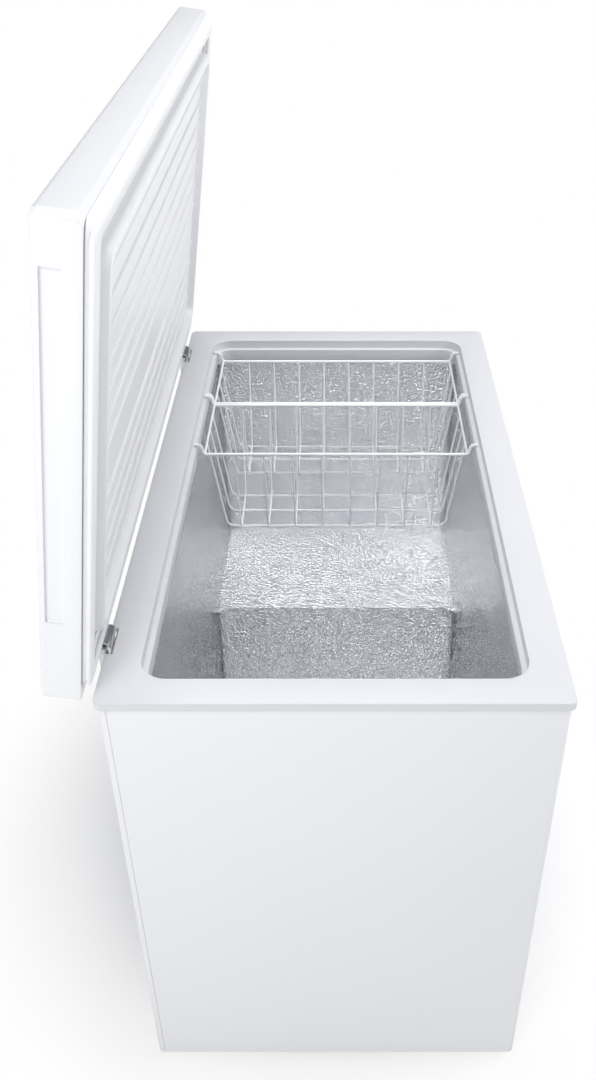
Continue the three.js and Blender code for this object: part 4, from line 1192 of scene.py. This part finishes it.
# %% Dial cap and pointer
knob = rod("dial_cap", 18 * MM, (DIAL.x, panel_low.y - 0.3 * MM, DIAL.z), -6.8 * MM, "y", 72)
bpy.ops.object.mode_set(mode="EDIT")
pick_faces(lambda centre, normal: normal.y < -0.9)
bpy.ops.mesh.inset(thickness=3 * MM, depth=0)
bpy.ops.transform.translate(value=(0, -0.6 * MM, 0))
bpy.ops.mesh.inset(thickness=1.2 * MM, depth=-0.5 * MM)
done(knob)
grip = rounded_bar("grip", (DIAL.x - 3.4 * MM, knob_low.y + 0.2 * MM, DIAL.z - 15.5 * MM),
                   (DIAL.x + 3.4 * MM, panel_low.y - 4 * MM, DIAL.z + 15.5 * MM), "y", 3.2 * MM)
cut(knob, grip, "UNION")
soften(knob, 0.6 * MM, 4)
stem_long = knob_high.y - panel_low.y + 2 * MM
stem = rod("stem", 3 * MM, (DIAL.x, panel_low.y - 2 * MM, DIAL.z), stem_long, "y", 24)
knob = joined([knob, stem], "dial_cap")
settle(knob, PALE, "thermostat_knob", "thermostat_knob", slot="white_plastic")
pointer = bar("dial_pointer", (DIAL.x - 0.5 * MM, knob_low.y + 0.05 * MM, DIAL.z + 4 * MM),
              (DIAL.x + 0.5 * MM, knob_low.y + 0.6 * MM, DIAL.z + 14 * MM))
settle(pointer, INK, "thermostat_knob")

# %% [markdown]
# ## Lamp
# The lamp's lens is a short cylinder; bevelling only the front face's edge makes it a dome.

# %% Lamp lens
lamp_cap = rod("lamp_cap", 3.9 * MM, (LAMP.x, lens_low.y, LAMP.z), lens_high.y - lens_low.y, "y", 40)
bpy.ops.object.mode_set(mode="EDIT")
pick_faces(lambda centre, normal: normal.y < -0.9)
bpy.ops.mesh.bevel(affect="EDGES", offset=1.4 * MM, segments=6)
done(lamp_cap)
settle(lamp_cap, LENS, "cabinet", "indicator_lens", slot="green_lens")

# %% [markdown]
# ## Drain
# A defrost drain leaves through the front, low at the left. Its socket is a flanged ring; the cap that
# shuts it and the stopper in the floor are turned pieces with something to pull on.

# %% Drain socket
flange = rod("drain_socket_ring", 17 * MM, (DRAIN_X, socket_low.y, DRAIN_Z), 2.7 * MM, "y", 64)
spigot_long = socket_high.y - socket_low.y - MM
spigot = rod("spigot", 10.6 * MM, (DRAIN_X, socket_low.y + MM, DRAIN_Z), spigot_long, "y", 48)
cut(flange, spigot, "UNION")
cut(flange, rod("bore", 7.6 * MM, (DRAIN_X, socket_low.y - MM, DRAIN_Z), 0.012, "y", 48))
soften(flange, 0.5 * MM, 3)
settle(flange, PALE, "cabinet", "drain_socket", slot="white_plastic")

# %% Drain cap
cap_low, cap_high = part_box("drain_cap")
cap = rod("drain_cap_turned", 15 * MM, (DRAIN_X, cap_low.y, DRAIN_Z), 5.7 * MM, "y", 64)
bpy.ops.object.mode_set(mode="EDIT")
pick_faces(lambda centre, normal: normal.y < -0.9)
bpy.ops.mesh.inset(thickness=2.6 * MM, depth=0)
bpy.ops.mesh.inset(thickness=1.4 * MM, depth=-2.2 * MM)
done(cap)
pull = rounded_bar("pull", (DRAIN_X - 12 * MM, cap_low.y, DRAIN_Z - 1.6 * MM),
                   (DRAIN_X + 12 * MM, cap_low.y + 4 * MM, DRAIN_Z + 1.6 * MM), "x", 0.7 * MM, 3)
cut(cap, pull, "UNION")
stub = rod("stub", 7.2 * MM, (DRAIN_X, cap_low.y + 4 * MM, DRAIN_Z), cap_high.y - cap_low.y - 4 * MM, "y", 48)
cut(cap, stub, "UNION")
soften(cap, 0.5 * MM, 3)
settle(cap, PALE, "drain_cap", "drain_cap", slot="white_plastic")

# %% Stopper
stopper = rod("drain_stopper", 14 * MM, (PLUG[0], PLUG[1], FLOOR + 0.3 * MM), 3.7 * MM, "z", 64)
cut(stopper, rod("neck", 8.6 * MM, (PLUG[0], PLUG[1], drain_low.z), 4 * MM, "z", 48), "UNION")
tab = rounded_bar("tab", (PLUG[0] - 1.5 * MM, PLUG[1] - 6 * MM, FLOOR + 3 * MM),
                  (PLUG[0] + 1.5 * MM, PLUG[1] + 6 * MM, drain_high.z), "x", 4 * MM)
cut(stopper, tab, "UNION")
soften(stopper, 0.6 * MM, 3)
settle(stopper, GREY, "drain_plug", "drain_plug", slot="grey_plastic")
print("drain pieces", [round(v, 4) for v in (*cap.dimensions, *stopper.dimensions)])

# %% [markdown]
# ## Feet and cord gland
# Four screw-in feet, each a low turned foot with a soft edge and a recess at its middle, and at the
# back a rubber gland where the cord would leave.

# %% Feet
for number in range(1, 5):
    low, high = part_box(f"foot_{number}")
    middle = (low + high) / 2
    foot = rod(f"foot_{number}_turned", (high.x - low.x) / 2, (middle.x, middle.y, low.z), high.z - low.z,
               "z", 64)
    bpy.ops.object.mode_set(mode="EDIT")
    pick_faces(lambda centre, normal: normal.z > 0.9)
    bpy.ops.transform.resize(value=(0.72, 0.72, 1), center_override=(middle.x, middle.y, high.z))
    pick_faces(lambda centre, normal: normal.z < -0.9)
    bpy.ops.mesh.inset(thickness=6 * MM, depth=0)
    bpy.ops.mesh.inset(thickness=2 * MM, depth=-2 * MM)
    done(foot)
    soften(foot, 0.9 * MM, 4, 20)
    settle(foot, RUBBER, "cabinet", f"foot_{number}", slot="black_rubber")

# %% Gland
gland = rod("cord_gland_disc", 14 * MM, (GLAND[0], gland_high.y, GLAND[2]), -4.5 * MM, "y", 64)
bpy.ops.object.mode_set(mode="EDIT")
pick_faces(lambda centre, normal: normal.y > 0.9)
bpy.ops.mesh.inset(thickness=5 * MM, depth=0)
done(gland)
neck = rod("neck", 10.6 * MM, (GLAND[0], gland_low.y, GLAND[2]), 8 * MM, "y", 48)
cut(gland, neck, "UNION")
cut(gland, rod("bore", 4 * MM, (GLAND[0], gland_low.y - MM, GLAND[2]), 0.014, "y", 40))
soften(gland, 0.8 * MM, 4)
settle(gland, RUBBER, "cabinet", "cord_gland", slot="black_rubber")

# %% [markdown]
# ## Finish on the frame's own pieces
# The pieces that stay as the frame drew them are hidden in the foam or behind the louvres. Each takes
# the finish of what it is made of.

# %% Finishes by record slot
by_slot = {
    "painted_steel": PAINT, "white_plastic": PALE, "lid_panel_plastic": PANEL_PLASTIC, "gasket_vinyl": VINYL,
    "embossed_aluminium": STUCCO, "foam": FOAM, "hinge_steel": BRIGHT_STEEL, "zinc_steel": ZINC,
    "coated_wire": WIRE_COAT, "black_enamel": ENAMEL, "copper": COPPER, "black_rubber": RUBBER,
    "grey_plastic": GREY, "green_lens": LENS,
}
for part in frame["record"]["subparts"]:
    node = frame["nodes"][part["node"]]
    node.data.materials.clear()
    node.data.materials.append(by_slot[part["material_slot"]])

# %% [markdown]
# ## Floor
# A plain pale floor. Near the freezer it takes a soft shadow; further out it brightens into the white
# surroundings, as a lit studio sweep does, so that no edge shows.

# %% Floor
def studio_sweep():
    pale = Finish("pale_floor", roughness=0.9)
    pale.set("base color", pale.tint(pale.noise(0.8, 2), (0.93, 0.93, 0.93), (0.95, 0.95, 0.95)))
    away = pale.node("ShaderNodeVectorMath", {"operation": "LENGTH"}, output="Value", Vector=pale.place)
    lit = pale.node("ShaderNodeMapRange", {"interpolation_type": "SMOOTHSTEP"}, Value=away,
                    From_Min=0.25, From_Max=0.75)
    glowing = pale.node("ShaderNodeEmission", Color=(1, 1, 1, 1), Strength=1.0)
    blend = pale.tree.nodes.new("ShaderNodeMixShader")
    pale.tree.links.new(lit.socket, blend.inputs[0])
    pale.tree.links.new(pale.shader.outputs[0], blend.inputs[1])
    pale.tree.links.new(glowing.socket, blend.inputs[2])
    pale.tree.links.new(blend.outputs[0], pale.tree.nodes["Material Output"].inputs["Surface"])
    return pale.material


nothing_selected()
bpy.ops.mesh.primitive_plane_add(size=40, location=(0, 0, 0))
floor = bpy.context.object
floor.name = "floor"
floor.data.materials.append(studio_sweep())
